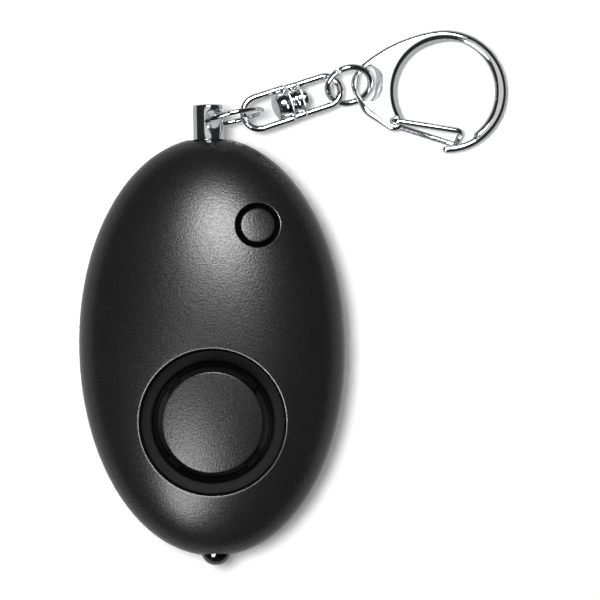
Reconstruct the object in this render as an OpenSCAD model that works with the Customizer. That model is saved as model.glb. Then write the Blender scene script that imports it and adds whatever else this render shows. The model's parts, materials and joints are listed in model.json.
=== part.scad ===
// Personal safety alarm: an egg shaped siren with a light button, a lamp and a pull pin on a key chain.
// Millimetres. The back rests on z = 0, +Y points along the case to the pull pin and +Z out of the front.

/* [Case] */
// Length of the case along Y
case_len = 66; // [64:0.5:76]
// Width of the case along X
case_w = 42; // [41:0.5:50]
// Height of the front shell above the seam
front_h = 12; // [11.5:0.25:15]
// Depth of the rear shell below the seam
back_h = 10.5; // [10.5:0.25:13]
// Wall of both shells
wall = 1.8; // [1.5:0.1:2]
// Roundness of the front in side view, 2 is an ellipse
front_power = 2.2; // [2:0.1:2.6]
// Roundness of the back in side view, larger is boxier
back_power = 3; // [2.8:0.1:3.6]

/* [Siren] */
// Centre of the siren below the middle of the case
siren_down = 11.7; // [11:0.1:12.5]
// Radius of the recess round the siren
siren_r = 11.7; // [11.2:0.1:12.2]
// Radius of the throat that the sound comes out of
throat_r = 9.4; // [8.9:0.1:10]
// Radius of the cap in the throat
cap_r = 7.95; // [7:0.05:8.3]
// Depth of the cap's top below the front surface
cap_drop = 0.9; // [0.4:0.1:1.4]
// Height of the recess's floor above the seam
ledge_up = 7; // [6.8:0.1:7.6]
// Radius of the sounder's brass plate
piezo_r = 11.4; // [10.4:0.1:11.6]

/* [Light button] */
// Distance of the button to the right of the middle
button_x = 7.6; // [6.8:0.1:8]
// Distance of the button below the pin's end of the case
button_down = 14.1; // [13.6:0.1:15.5]
// Radius of the hole for the button
button_hole_r = 3.5; // [3.2:0.05:3.8]
// Radius of the button's cap
button_r = 2.7; // [2.3:0.05:3]
// Travel of the button
button_travel = 0.5; // [0.2:0.1:0.7]

/* [Pull pin] */
// Diameter of the pin's chrome head
head_d = 4.75; // [4.5:0.05:5.4]
// Length of the pin's head
head_len = 5.6; // [5.4:0.1:7]
// Radius of the pin's stem
stem_r = 1.6; // [1.4:0.05:1.8]
// Length of the stem inside the case, with its tip
stem_len = 15; // [14.5:0.5:16]
// Diameter of the cross hole for the ring
eye_d = 2.9; // [2.8:0.05:3]
// Turn of the cross hole to the right of straight up
eye_turn = 24; // [20:1:28]

/* [Lamp] */
// Diameter of the lamp's clear lens
lamp_d = 4.9; // [4.7:0.05:5.2]
// Distance that the lens stands out of the case
lamp_out = 1.5; // [1:0.1:2]

/* [Button cells] */
// Diameter of a cell
cell_d = 11.6; // [11.2:0.1:11.8]
// Height of a cell
cell_h = 5.4; // [5.2:0.1:5.6]
// Number of cells in the stack
cell_count = 3; // [3:1:3]

/* [Chain] */
// Mean radius of the ring in the pin
ring_r = 4.7; // [4.6:0.05:5.2]
// Wire of the ring in the pin
ring_wire = 0.76; // [0.6:0.02:0.8]
// Length of the swivel between its end wires
swivel_len = 16.2; // [15.8:0.1:18]
// Width of the swivel over its wires
swivel_w = 6.2; // [6.1:0.05:6.8]
// Wire of the swivel's two loops
swivel_wire = 1.06; // [0.9:0.02:1.1]
// Mean radius of the link ring
link_r = 3.5; // [3.4:0.05:3.8]
// Wire of the link ring
link_wire = 1.06; // [0.9:0.02:1.1]
// Inner radius of the hook's eye
hook_r = 8.2; // [8:0.1:9.5]
// Thickness of the hook
hook_t = 1.6; // [1.4:0.05:1.7]
// Wire of the hook's spring gate
gate_wire = 0.95; // [0.8:0.05:1]

/* [Hidden] */
$fn = 64;

// Clearances
fit = 0.05;      // running fit, on the radius
gap = 0.1;       // between fixed pieces, on each side
slack = 0.15;    // between loose links of the chain
over = 1;        // how far a cut runs past the face it opens

// Case
half_l = case_len / 2;
half_w = case_w / 2;
seam = back_h;
outline_power = 2.03;
back_cut = 1;
back_full = back_h + back_cut;

// Siren, heights above the seam
throat_depth = 1.8;
shoulder_t = 1;
shoulder_up = ledge_up - throat_depth;
pocket_up = shoulder_up - shoulder_t;
piezo_t = 0.25;
ceramic_t = 0.25;
ceramic_in = 2.4;
ceramic_r = piezo_r - ceramic_in;
retainer_t = 0.9;
retainer_bore_r = ceramic_r + 0.4;
cup_wall = 1.5;
cup_up = pocket_up - piezo_t - retainer_t - gap;
cup_r = max(siren_r, piezo_r + gap) + cup_wall;
shoulder_w = 0.6;
foot_w = 2.4;
foot_t = 1;
cap_wall = 1.4;
cap_hollow = 1.3;

// Light button and the switch under it, heights above the seam
button_y = half_l - button_down;
boss_up = 4.6;
boss_wall = 1.7;
flange_w = 0.9;
flange_t = 0.9;
button_drop = 0.25;
board_up = -2.4;
board_t = 1.2;
switch_w = 6;
switch_h = 3.5;
plunger_out = 1.5;
plunger_up = switch_h + plunger_out;
plunger_r = 1.7;
plunger_in = 1;
button_stem_r = 1.5;

// Pull pin
seat_depth = 0.7;
pin_gap = 0.25;
seat_y = half_l - seat_depth;
pin_y = seat_y + pin_gap;
eye_up = 3.25;
eye_y = pin_y + eye_up;
head_r = head_d / 2;
head_bevel = 0.3;
spigot_r = 1;
spigot_len = 1.1;
socket_wall = 1;
socket_r = stem_r + socket_wall;
socket_len = 6.8;
collar_w = 0.7;
collar_r = socket_r + collar_w;
collar_t = 1;
collar_in = 3.3;
tip_len = 4.5;
tip_step = 0.3;
tip_r = stem_r - tip_step;
tip_plug_r = 0.8;
tip_plug_len = 1.5;
block_wall = 1.2;
pin_block_len = 6;

// Lamp
lamp_r = lamp_d / 2;
lamp_len = 6.05;
lamp_rim_w = 0.45;
lamp_rim_t = 1;
lamp_y = -half_l - lamp_out + lamp_r;
lamp_back_y = lamp_y + lamp_len;
lamp_stop = 0.4;
lamp_block_y = lamp_back_y + lamp_stop;
lead_r = 0.3;
lead_x = 1.27;
lead_len = 4;

// Cells, their contacts and the door
cell_y = -4.5;
cell_gap = 0.05;
cell_lip = 0.6;
cell_step = 0.5;
cell_lift = 0.3;
door_t = 1;
cell_r = cell_d / 2;
cell_z = door_t + cell_lift + cell_r;
stack = cell_count * cell_h + (cell_count - 1) * cell_gap;
contact_t = 0.3;
contact_w = 8;
bow_half = 0.8;
spring_len = 1.7;
cradle_t = 1.2;
cradle_half = 4.5;
opening_gap = 0.3;
opening_x = stack / 2 + opening_gap;
opening_y = cell_r + opening_gap;
door_ledge = 1.3;
door_x = opening_x + door_ledge;
door_y0 = cell_y - opening_y - door_ledge;
door_screw_in = 2.4;
door_screw_y = cell_y + opening_y + door_screw_in + 2 * gap;
door_y1 = door_screw_y + door_screw_in;
door_corner = 1.5;
tongue_w = 8;
tongue_t = 1;
tongue_reach = 1.2;

// Screws
screw_r = 0.95;
pilot_r = screw_r + fit;
screw_head_r = 1.9;
screw_head_t = 1.2;
post_r = 2.4;
post_seat_z = 5;
screw_bite = 4.5;
post_in = 7;
post_x = half_w - post_in;
post_y = 8;
low_post_in = 9.5;
low_post_up = 12;
low_post_x = half_w - low_post_in;
low_post_y = low_post_up - half_l;
case_posts = [[post_x, post_y], [-post_x, post_y], [low_post_x, low_post_y], [-low_post_x, low_post_y]];
door_boss_r = 2.2;
door_boss_z = 6;
door_screw_len = 5;
countersink = 0.8;

// Circuit board
board_z = seam + board_up;
board_y0 = 4;
board_gap = 0.6;
board_y1 = seat_y - pin_block_len - 2 * board_gap;
board_x = post_x - post_r - board_gap;
standoff_r = 1.8;
standoff_x = 7.5;
standoff_in = 1.5;
standoff_y = board_y0 + standoff_in;
top_standoff_x = 6;
top_standoff_in = 2.6;
top_standoff_y = board_y1 - top_standoff_in;
standoffs = [
    [standoff_x, standoff_y], [-standoff_x, standoff_y],
    [top_standoff_x, top_standoff_y], [-top_standoff_x, top_standoff_y]
];
board_screw_count = 2;
board_screw_len = 3.6;
board_head_t = 0.8;
board_head_r = 1.6;
coil_in = 6.4;
coil_at = [coil_in - board_x, button_y - coil_in];
coil_r = 3;
coil_h = 4.6;
coil_rim_t = 0.8;
coil_rim_w = 0.5;
chip_x = 2.6;
chip_down = 7.4;
chip_at = [chip_x, button_y - chip_down];
chip_size = [5, 4, 1.5];
chip_lead = 1;
chip_pins = 4;
chip_pin_w = 0.4;
capacitor_in = 3;
capacitor_down = 0.4;
capacitor_at = [capacitor_in - board_x, button_y - capacitor_down];
capacitor_r = 2;
capacitor_h = 5;

// Contact leaves beside the pin's tip
leaf_t = 0.3;
leaf_len = 4;
leaf_foot = 1.6;
leaf_top = 1;
leaf_in = 0.3;
leaf_y = pin_y - stem_len + leaf_in;

// Wires inside the case, as points chosen by hand
wire_r = 0.3;
wire_bend = 2;
pad_z = board_z + wire_r + fit;
lamp_wire_y = lamp_back_y + lead_len;
lamp_drop = 2.8;
lamp_low = seam - lamp_drop;
lamp_route = [
    [lead_x, lamp_wire_y, seam], [lead_x, lamp_wire_y + 3 * lead_r, seam], [2.5, -19.8, seam - lamp_drop / 3],
    [6, -17.5, seam - lamp_drop / 1.4], [10.5, -14, lamp_low], [13, -8, lamp_low], [13.3, -2, lamp_low],
    [12.2, 2, seam - lamp_drop / 2], [10.8, 4.4, pad_z + wire_r], [9.8, 5.4, pad_z]
];
wire_arch = 1.7;
siren_wire_x = 2.5;
siren_wire_y = retainer_bore_r - siren_down - wire_r - gap;
siren_wire_z = seam + cup_up - wire_r;
siren_route = [
    [siren_wire_x, siren_wire_y - 7 * wire_r, siren_wire_z + 2 * wire_r],
    [siren_wire_x, siren_wire_y - 3 * wire_r, siren_wire_z + wire_r / 2],
    [siren_wire_x, siren_wire_y, siren_wire_z],
    [siren_wire_x, siren_wire_y + 3 * wire_r, siren_wire_z - wire_r],
    [2.6, 0.6, siren_wire_z - 2 * wire_r], [2.9, 3, board_z + 2 * wire_arch], [3, 4.3, board_z + wire_arch],
    [3, 5, pad_z]
];
contact_top = cell_z + contact_w / 2 + wire_r;
battery_routes = [
    [
        [8.75, -1.4, contact_top], [8.75, 0.6, contact_top], [8, 2.8, board_z + 2 * wire_arch],
        [6, 4, board_z + wire_arch], [5.5, 5.2, pad_z]
    ],
    [
        [-10, -1.4, contact_top], [-9.8, 0.6, contact_top], [-8.6, 2.8, board_z + 2 * wire_arch],
        [-6, 4, board_z + wire_arch], [-5.2, 5.2, pad_z]
    ]
];

// Ring in the pin: its plane holds ring_along and ring_down
ring_heading = 12;
ring_lean = 6.3;
ring_fall = 13;
ring_play = 0.47;
ring_back = eye_d / 2 - ring_wire / 2 - ring_play;
ring_low = 0.35;
ring_along = [cos(ring_heading), sin(ring_heading), 0];
ring_down = [
    sin(ring_lean) * sin(ring_heading), -sin(ring_lean) * cos(ring_heading), -cos(ring_lean)
];
eye_at = [0, eye_y, seam];
ring_at = eye_at - [0, ring_low, 0]
    + (ring_r - ring_back) * (cos(ring_fall) * ring_along + sin(ring_fall) * ring_down);

// Hook: x runs from its small hole to its eye, z out of its face
hook_bar = 1.6;
hook_outer = hook_r + hook_bar;
hook_arm = 12.2;
hook_heading = -6.7;
hook_pitch = 4;
hole_w = 4;
hole_h = 5.7;
hole_rim = 0.9;
boss_at = [-hook_r + 0.5, -5.5];
boss_r = 1.45;
nose_wall = 0.9;
nose_t = 1.1;
nose_from = -84;
nose_to = -50;
rod_from = nose_to - 2;
rod_to = 120;
// Rounds that the plate is drawn over: each a place beside the hole or the eye, and a radius
upper_round = [2.9, 2, 3.5];
crown_round = [1, 3.5, 3.9];
lower_round = [1.8, -2.3, 3.1];
plate_rounds = [
    [[upper_round[0] - hook_arm, upper_round[1]], upper_round[2]],
    [[crown_round[0] - hook_r, crown_round[1]], crown_round[2]],
    [[lower_round[0] - hook_arm, lower_round[1]], lower_round[2]]
];
gate_lift = hook_t / 2 + gate_wire / 2 + fit;
gate_in = 2.1;
gate_front = [3, gate_in - hook_r];
gate_back = [2.6, -hook_r - 0.1];
gate_foot = [boss_at[0] + 0.6, boss_at[1] - 0.7];
gate_bend = 0.9;
hook_z = gate_lift + gate_wire / 2 + gate_front[0] * sin(hook_pitch) + gap;

// Link ring between the swivel and the hook, its far side lifted
link_heading = 8;
link_pitch = 9;
link_tilt = 40;
link_cut = 6;
link_play = 0.85;
link_cut_at = 118;
hang_heading = 3.4;
hook_hang = 3.35;
link_reach = link_r - link_wire / 2 - swivel_wire / 2 - link_play;
link_z = hook_z + hook_arm * sin(hook_pitch) + (hook_hang + link_reach) * sin(link_pitch);

// Swivel: from its end wire in the ring down to its end wire in the link
swivel_heading = 17.3;
loop_r = (swivel_w - swivel_wire) / 2;
eye_rest = ring_r - ring_wire / 2 - swivel_wire / 2 - slack;
eye_rest_x = 1.66;
eye_rest_z = sqrt(eye_rest * eye_rest - eye_rest_x * eye_rest_x);
swivel_from = ring_at + eye_rest_x * ring_along + eye_rest_z * ring_down;
swivel_pitch = asin((swivel_from[2] - link_z) / swivel_len);
swivel_dir = heading_dir(swivel_pitch, swivel_heading);
swivel_to = swivel_from + swivel_len * swivel_dir;
drum_r = 2.25;
drum_t = 1.9;
drum_mid = 7.8;
drum_cone = 0.9;
rivet_r = 0.8;
rivet_head_r = 1.25;
rivet_head_t = 1.1;

link_at = swivel_to + link_reach * heading_dir(link_pitch, link_heading);
hole_at = link_at + hook_hang * heading_dir(link_pitch, hang_heading);
hook_at = hole_at + hook_arm * heading_dir(hook_pitch, hook_heading);

// Vectors and swept tubes
function unit(v) = v / norm(v);
function heading_dir(fall, turn) = [cos(fall) * cos(turn), cos(fall) * sin(turn), -sin(fall)];
function run_at(p, i) = unit(p[min(i + 1, len(p) - 1)] - p[max(i - 1, 0)]);
function side_at(p, i) = i == 0
    ? unit(cross(run_at(p, 0), abs(run_at(p, 0)[2]) < 0.9 ? [0, 0, 1] : [1, 0, 0]))
    : let (t = run_at(p, i), s = side_at(p, i - 1)) unit(s - (s * t) * t);
function bend_at(p, i, r, steps) = let (
    a = p[i] - min(r, norm(p[i] - p[i - 1]) / 2) * unit(p[i] - p[i - 1]),
    b = p[i] + min(r, norm(p[i + 1] - p[i]) / 2) * unit(p[i + 1] - p[i])
) [for (k = [0 : steps]) let (f = k / steps) (1 - f) * (1 - f) * a + 2 * f * (1 - f) * p[i] + f * f * b];
function bent(p, r, steps = 4) = concat(
    [p[0]], [for (i = [1 : len(p) - 2]) each bend_at(p, i, r, steps)], [p[len(p) - 1]]
);

module tube(p, r, sides = 8) {
    n = len(p);
    rings = [for (i = [0 : n - 1]) let (t = run_at(p, i), s = side_at(p, i), b = cross(t, s))
        for (j = [0 : sides - 1]) p[i] + r * (cos(360 * j / sides) * s + sin(360 * j / sides) * b)];
    skin = [for (i = [0 : n - 2], j = [0 : sides - 1])
        let (k = (j + 1) % sides, a = i * sides, b = a + sides)
        each [[a + j, b + j, b + k], [a + j, b + k, a + k]]];
    start = [for (j = [0 : sides - 1]) j];
    end = [for (j = [0 : sides - 1]) n * sides - 1 - j];
    polyhedron(rings, concat([start], skin, [end]));
}

// Half egg on z = 0: cut below 1 ends it in a flat at that share of its height
function edge_at(a, b, q) =
    pow(pow(abs(cos(q)) / a, outline_power) + pow(abs(sin(q)) / b, outline_power), -1 / outline_power);
function egg_ring(a, b, h, power, p, seg) = [for (j = [0 : seg - 1])
    let (q = 360 * j / seg, r = pow(cos(p), 2 / power) * edge_at(a, b, q))
    [r * cos(q), r * sin(q), h * pow(sin(p), 2 / power)]];

module dome(a, b, h, power, cut = 1, seg = 64, rings = 12) {
    top = asin(pow(cut, power / 2));
    open = cut < 1;
    layers = open ? rings : rings - 1;
    pts = [for (i = [0 : layers]) each egg_ring(a, b, h, power, top * i / rings, seg)];
    skin = [for (i = [0 : layers - 1], j = [0 : seg - 1]) let (k = (j + 1) % seg, m = i * seg, n = m + seg)
        each [[m + j, n + j, n + k], [m + j, n + k, m + k]]];
    last = layers * seg;
    lid = open
        ? [[for (j = [0 : seg - 1]) last + seg - 1 - j]]
        : [for (j = [0 : seg - 1]) [last + j, last + seg, last + (j + 1) % seg]];
    polyhedron(concat(pts, open ? [] : [[0, 0, h]]), concat([[for (j = [0 : seg - 1]) j]], skin, lid));
}

module front_form(drop = 0) {
    translate([0, 0, seam]) dome(half_w, half_l, front_h - drop, front_power);
}

module back_form() {
    translate([0, 0, seam]) mirror([0, 0, 1])
        dome(half_w, half_l, back_full, back_power, back_h / back_full);
}

// A cylinder along +Y from y0 to y1 at the height of the seam
module along_y(r, y0, y1) {
    translate([0, y0, seam]) rotate([-90, 0, 0]) cylinder(r = r, h = y1 - y0);
}

module slab(x, y0, y1, z0, z1) {
    translate([-x, y0, z0]) cube([2 * x, y1 - y0, z1 - z0]);
}

module rounded_plate(x, y0, y1, r, t) {
    linear_extrude(t) {
        translate([-x + r, y0]) square([2 * (x - r), y1 - y0]);
        translate([-x, y0 + r]) square([2 * x, y1 - y0 - 2 * r]);
        for (sx = [-1, 1], y = [y0 + r, y1 - r]) translate([sx * (x - r), y]) circle(r = r);
    }
}

// Bores that both shells share at the seam: the pin's socket and the lamp
module seam_bores() {
    along_y(socket_r + gap, seat_y - socket_len - over, seat_y + over);
    along_y(collar_r + gap, seat_y - collar_in - collar_t - gap, seat_y - collar_in + gap);
    along_y(collar_r, seat_y, half_l + over);
    along_y(lamp_r + gap, -half_l - over, lamp_back_y);
    along_y(lamp_r + lamp_rim_w + gap, lamp_back_y - lamp_rim_t - gap, lamp_block_y + over);
}

// Blocks round those bores, from the seam up or down by dz
module seam_blocks(dz) {
    pin_z = collar_r + block_wall;
    lamp_z = lamp_r + lamp_rim_w + block_wall;
    slab(pin_z, seat_y - pin_block_len, half_l, min(seam, seam + dz * pin_z), max(seam, seam + dz * pin_z));
    slab(lamp_z, -half_l, lamp_block_y, min(seam, seam + dz * lamp_z), max(seam, seam + dz * lamp_z));
}

module siren_at(up) {
    translate([0, -siren_down, seam + up]) children();
}

module button_at(up) {
    translate([button_x, button_y, seam + up]) children();
}

module front_shell() color("#2b2b2b") difference() {
    union() {
        difference() {
            front_form();
            translate([0, 0, seam - gap])
                dome(half_w - wall, half_l - wall, front_h - wall + gap, front_power, seg = 48, rings = 8);
        }
        intersection() {
            front_form();
            union() {
                siren_at(cup_up) cylinder(r = cup_r, h = front_h);
                button_at(boss_up) cylinder(r = button_hole_r + boss_wall, h = front_h);
                seam_blocks(1);
                for (p = case_posts) translate([p[0], p[1], seam]) cylinder(r = post_r, h = front_h);
            }
        }
    }
    siren_at(ledge_up) cylinder(r = siren_r, h = front_h);
    siren_at(shoulder_up) cylinder(r = throat_r, h = front_h);
    siren_at(pocket_up - over) cylinder(r = throat_r - shoulder_w, h = front_h);
    siren_at(cup_up - over) cylinder(r = piezo_r + gap, h = pocket_up - cup_up + over);
    button_at(boss_up - over) cylinder(r = button_hole_r, h = front_h);
    seam_bores();
    for (p = case_posts)
        translate([p[0], p[1], seam - over]) cylinder(r = pilot_r, h = screw_bite + gap + over);
}

module rear_shell() color("#262626") difference() {
    union() {
        difference() {
            back_form();
            translate([0, 0, seam + gap]) mirror([0, 0, 1])
                dome(
                    half_w - wall, half_l - wall, back_full - wall + gap, back_power,
                    (back_h - wall + gap) / (back_full - wall + gap), seg = 48, rings = 8
                );
        }
        intersection() {
            back_form();
            union() {
                seam_blocks(-1);
                for (p = case_posts) translate([p[0], p[1], 0]) cylinder(r = post_r, h = seam);
                for (p = standoffs)
                    translate([p[0], p[1], 0]) cylinder(r = standoff_r, h = board_z - board_t);
                translate([0, door_screw_y, 0]) cylinder(r = door_boss_r, h = door_boss_z);
                cradle_walls();
            }
        }
    }
    seam_bores();
    for (p = case_posts) {
        translate([p[0], p[1], -over]) cylinder(r = screw_head_r + gap, h = post_seat_z + over);
        translate([p[0], p[1], 0]) cylinder(r = pilot_r, h = seam + over);
    }
    for (i = [0 : board_screw_count - 1])
        translate([standoffs[i][0], standoffs[i][1], board_z - board_screw_len - gap])
            cylinder(r = pilot_r, h = board_screw_len);
    translate([0, 0, -over])
        rounded_plate(door_x + gap, door_y0 - gap, door_y1 + gap, door_corner + gap, door_t + over);
    slab(opening_x, cell_y - opening_y, cell_y + opening_y, -over, wall + over);
    translate([0, door_screw_y, 0]) cylinder(r = pilot_r, h = door_screw_len + gap);
}

// End walls of the battery bay, behind the two contacts
module cradle_walls() {
    plus_x = stack / 2 + cell_gap + contact_t;
    minus_x = -stack / 2 - spring_len - contact_t;
    for (x = [plus_x, minus_x - cradle_t])
        translate([x, cell_y - cradle_half, 0]) cube([cradle_t, 2 * cradle_half, cell_z + cell_r / 2]);
}

module siren_cap() color("#2e2e2e") {
    difference() {
        intersection() {
            front_form(cap_drop);
            siren_at(shoulder_up) cylinder(r = cap_r, h = front_h);
        }
        siren_at(shoulder_up - over) cylinder(r = cap_r - cap_wall, h = cap_hollow + over);
    }
    foot_from = cap_r - cap_wall / 2;
    siren_at(shoulder_up) for (q = [45 : 90 : 315]) rotate(q)
        translate([foot_from, -foot_w / 2, 0]) cube([throat_r - 2 * gap - foot_from, foot_w, foot_t]);
}

module piezo_disc() color("#c9a24a") siren_at(pocket_up - piezo_t) cylinder(r = piezo_r, h = piezo_t);

module piezo_ceramic() color("#e8e4da")
    siren_at(pocket_up - piezo_t - ceramic_t) cylinder(r = ceramic_r, h = ceramic_t);

module piezo_retainer() color("#3a3a3a") siren_at(pocket_up - piezo_t - retainer_t) difference() {
    cylinder(r = piezo_r, h = retainer_t);
    translate([0, 0, -over]) cylinder(r = retainer_bore_r, h = retainer_t + 2 * over);
}

module light_button() color("#2e2e2e") {
    flange_up = boss_up - gap - flange_t;
    intersection() {
        front_form(button_drop);
        button_at(flange_up) cylinder(r = button_r, h = front_h);
    }
    button_at(flange_up) cylinder(r = button_hole_r + flange_w, h = flange_t);
    stem_up = board_up + plunger_up;
    button_at(stem_up) cylinder(r = button_stem_r, h = flange_up - stem_up + flange_t / 2);
}

module switch_body() color("#1c1c1c") button_at(board_up) difference() {
    translate([-switch_w / 2, -switch_w / 2, 0]) cube([switch_w, switch_w, switch_h]);
    translate([0, 0, switch_h - plunger_in - 2 * button_travel]) cylinder(r = plunger_r + fit, h = front_h);
}

module switch_plunger() color("#d8d8d0")
    button_at(board_up + switch_h - plunger_in) cylinder(r = plunger_r, h = plunger_out + plunger_in);

module circuit_board() color("#2f6b3f") difference() {
    translate([0, 0, board_z - board_t]) linear_extrude(board_t) intersection() {
        polygon([for (q = [0 : 5 : 355]) let (r = edge_at(half_w - wall - over, half_l - wall - over, q))
            [r * cos(q), r * sin(q)]]);
        translate([-board_x, board_y0]) square([2 * board_x, board_y1 - board_y0]);
    }
    for (i = [0 : board_screw_count - 1])
        translate([standoffs[i][0], standoffs[i][1], board_z - board_t - over])
            cylinder(r = pilot_r, h = board_t + 2 * over);
}

module board_screws() color("#b9bcc0") for (i = [0 : board_screw_count - 1])
    translate([standoffs[i][0], standoffs[i][1], board_z]) {
        cylinder(r = board_head_r, h = board_head_t);
        translate([0, 0, -board_screw_len]) cylinder(r = screw_r, h = board_screw_len + board_head_t / 2);
    }

module boost_coil() color("#8a4b22") translate([coil_at[0], coil_at[1], board_z]) {
    for (z = [0, coil_h - coil_rim_t]) translate([0, 0, z]) cylinder(r = coil_r, h = coil_rim_t);
    cylinder(r = coil_r - coil_rim_w, h = coil_h);
}

module alarm_chip() color("#202020") translate([chip_at[0], chip_at[1], board_z]) {
    translate([-chip_size[0] / 2, -chip_size[1] / 2, 0]) cube(chip_size);
    pitch = chip_size[0] / chip_pins;
    across = chip_size[1] + 2 * chip_lead;
    for (i = [0 : chip_pins - 1])
        translate([(i - (chip_pins - 1) / 2) * pitch - chip_pin_w / 2, -across / 2, 0])
            cube([chip_pin_w, across, chip_pin_w]);
}

module capacitor() color("#2d3a63")
    translate([capacitor_at[0], capacitor_at[1], board_z]) cylinder(r = capacitor_r, h = capacitor_h);

module contact_leaves() color("#c9a24a") for (s = [-1, 1]) {
    x = tip_r + gap;
    translate([s > 0 ? x : -x - leaf_t, leaf_y, board_z]) cube([leaf_t, leaf_len, leaf_top - board_up]);
    translate([s > 0 ? x : -x - leaf_foot, leaf_y, board_z]) cube([leaf_foot, leaf_len, leaf_t]);
}

module pin_socket() color("#b98d3e") difference() {
    union() {
        along_y(socket_r, seat_y - socket_len, seat_y);
        along_y(collar_r, seat_y - collar_in - collar_t, seat_y - collar_in);
    }
    along_y(stem_r + fit, seat_y - socket_len - over, seat_y + over);
}

module pin_stem() color("#c4c6c8") {
    tip_end = pin_y - stem_len + tip_len;
    difference() {
        along_y(stem_r, tip_end, pin_y);
        along_y(tip_plug_r + gap, tip_end - over, tip_end + tip_plug_len + gap);
    }
    along_y(spigot_r, pin_y - over, pin_y + spigot_len);
}

module pin_tip() color("#e9e7df") {
    tip_end = pin_y - stem_len + tip_len;
    along_y(tip_r, pin_y - stem_len, tip_end);
    along_y(tip_plug_r, tip_end - over, tip_end + tip_plug_len);
}

module pin_head() color("#d6d8da") difference() {
    translate([0, pin_y, seam]) rotate([-90, 0, 0]) rotate_extrude() polygon([
        [0, 0], [head_r - head_bevel / 2, 0], [head_r, head_bevel / 2], [head_r, head_len - head_bevel],
        [head_r - head_bevel, head_len], [0, head_len]
    ]);
    along_y(spigot_r + fit, pin_y - over, pin_y + spigot_len + gap);
    translate(eye_at) rotate([0, eye_turn, 0]) cylinder(d = eye_d, h = 2 * head_d, center = true);
}

module lamp_lens() color("#e6ecef") translate([0, lamp_y, seam]) rotate([-90, 0, 0]) rotate_extrude() {
    intersection() {
        circle(r = lamp_r);
        translate([0, -lamp_r]) square([lamp_r, lamp_r]);
    }
    square([lamp_r, lamp_len]);
    translate([0, lamp_len - lamp_rim_t]) square([lamp_r + lamp_rim_w, lamp_rim_t]);
}

module lamp_leads() color("#b9bcc0") for (s = [-1, 1]) translate([s * lead_x, 0, 0])
    along_y(lead_r, lamp_back_y, lamp_back_y + lead_len);

module lamp_wires() color("#b03030") for (s = [0, 1]) mirror([s, 0, 0])
    tube(bent(lamp_route, wire_bend, 2), wire_r);

module siren_wires() color("#b03030") for (s = [0, 1]) mirror([s, 0, 0])
    tube(bent(siren_route, wire_bend / 2, 2), wire_r);

module battery_wires() color("#303030") for (route = battery_routes)
    tube(bent(route, wire_bend / 2, 2), wire_r);

module button_cells() color("#c2c5c8") for (i = [0 : cell_count - 1])
    translate([-stack / 2 + i * (cell_h + cell_gap), cell_y, cell_z]) rotate([0, 90, 0]) {
        cylinder(r = cell_r - cell_lip, h = cell_h);
        translate([0, 0, cell_step]) cylinder(r = cell_r, h = cell_h - cell_step);
    }

// One contact's square plate, its inner face at x
module contact_plate(x) {
    translate([x, cell_y - contact_w / 2, cell_z - contact_w / 2]) cube([contact_t, contact_w, contact_w]);
}

module plus_contact() color("#c4c6c8") contact_plate(stack / 2 + cell_gap);

// A plate on the end wall with a bowed leaf that presses on the stack
module minus_contact() color("#c4c6c8") {
    x0 = -stack / 2 - spring_len - contact_t;
    half = contact_w / 2;
    bow = spring_len - cell_gap;
    near = bow - contact_t / 2;
    far = bow + contact_t / 2;
    contact_plate(x0);
    translate([x0 + contact_t / 2, cell_y + half / 2, cell_z]) rotate([90, 0, 0]) linear_extrude(half)
        polygon([
            [0, -half], [contact_t, -half], [far, -bow_half], [far, bow_half],
            [contact_t, half], [0, half], [near, bow_half - fit], [near, fit - bow_half]
        ]);
}

module battery_door() color("#262626") difference() {
    union() {
        rounded_plate(door_x, door_y0, door_y1, door_corner, door_t);
        inner = cell_y - opening_y + gap;
        slab(tongue_w / 2, inner, inner + tongue_t, door_t / 2, wall + gap + tongue_t);
        slab(tongue_w / 2, inner - gap - tongue_reach, inner + tongue_t, wall + gap, wall + gap + tongue_t);
    }
    translate([0, door_screw_y, -over]) cylinder(r = pilot_r, h = door_t + 2 * over);
    translate([0, door_screw_y, 0]) cylinder(r1 = screw_head_r + fit, r2 = screw_r + fit, h = countersink);
}

module door_screw() color("#b9bcc0") translate([0, door_screw_y, 0]) {
    cylinder(r1 = screw_head_r, r2 = screw_r, h = countersink);
    cylinder(r = screw_r, h = door_screw_len);
}

module case_screws() color("#b9bcc0") for (p = case_posts) translate([p[0], p[1], post_seat_z]) {
    translate([0, 0, -screw_head_t]) cylinder(r = screw_head_r, h = screw_head_t);
    cylinder(r = screw_r, h = seam - post_seat_z + screw_bite);
}

module pin_ring() color("#d0d2d5") translate(ring_at) rotate([90 - ring_lean, 0, ring_heading])
    rotate_extrude() translate([ring_r, 0]) circle(d = ring_wire);

// The swivel's own frame: x from its end wire in the pin's ring to its end wire in the link ring
module swivel_frame() {
    translate(swivel_from) rotate([0, swivel_pitch, swivel_heading]) children();
}

// A wire loop round x = 0 whose legs run along +X to x = len
module wire_loop(len) {
    translate([loop_r, 0, 0]) rotate(90) rotate_extrude(angle = 180)
        translate([loop_r, 0]) circle(d = swivel_wire);
    for (s = [-1, 1])
        translate([loop_r, s * loop_r, 0]) rotate([0, 90, 0]) cylinder(d = swivel_wire, h = len - loop_r);
}

module x_drum(r, x0, x1) {
    translate([x0, 0, 0]) rotate([0, 90, 0]) cylinder(r = r, h = x1 - x0);
}

module swivel_eye() color("#cfd1d4") swivel_frame() difference() {
    union() {
        wire_loop(drum_mid - fit);
        x_drum(drum_r, drum_mid - drum_t, drum_mid - fit);
        translate([drum_mid - drum_t - drum_cone, 0, 0]) rotate([0, 90, 0])
            cylinder(r1 = rivet_head_r, r2 = drum_r, h = drum_cone);
    }
    x_drum(rivet_r + fit, 0, swivel_len);
}

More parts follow.
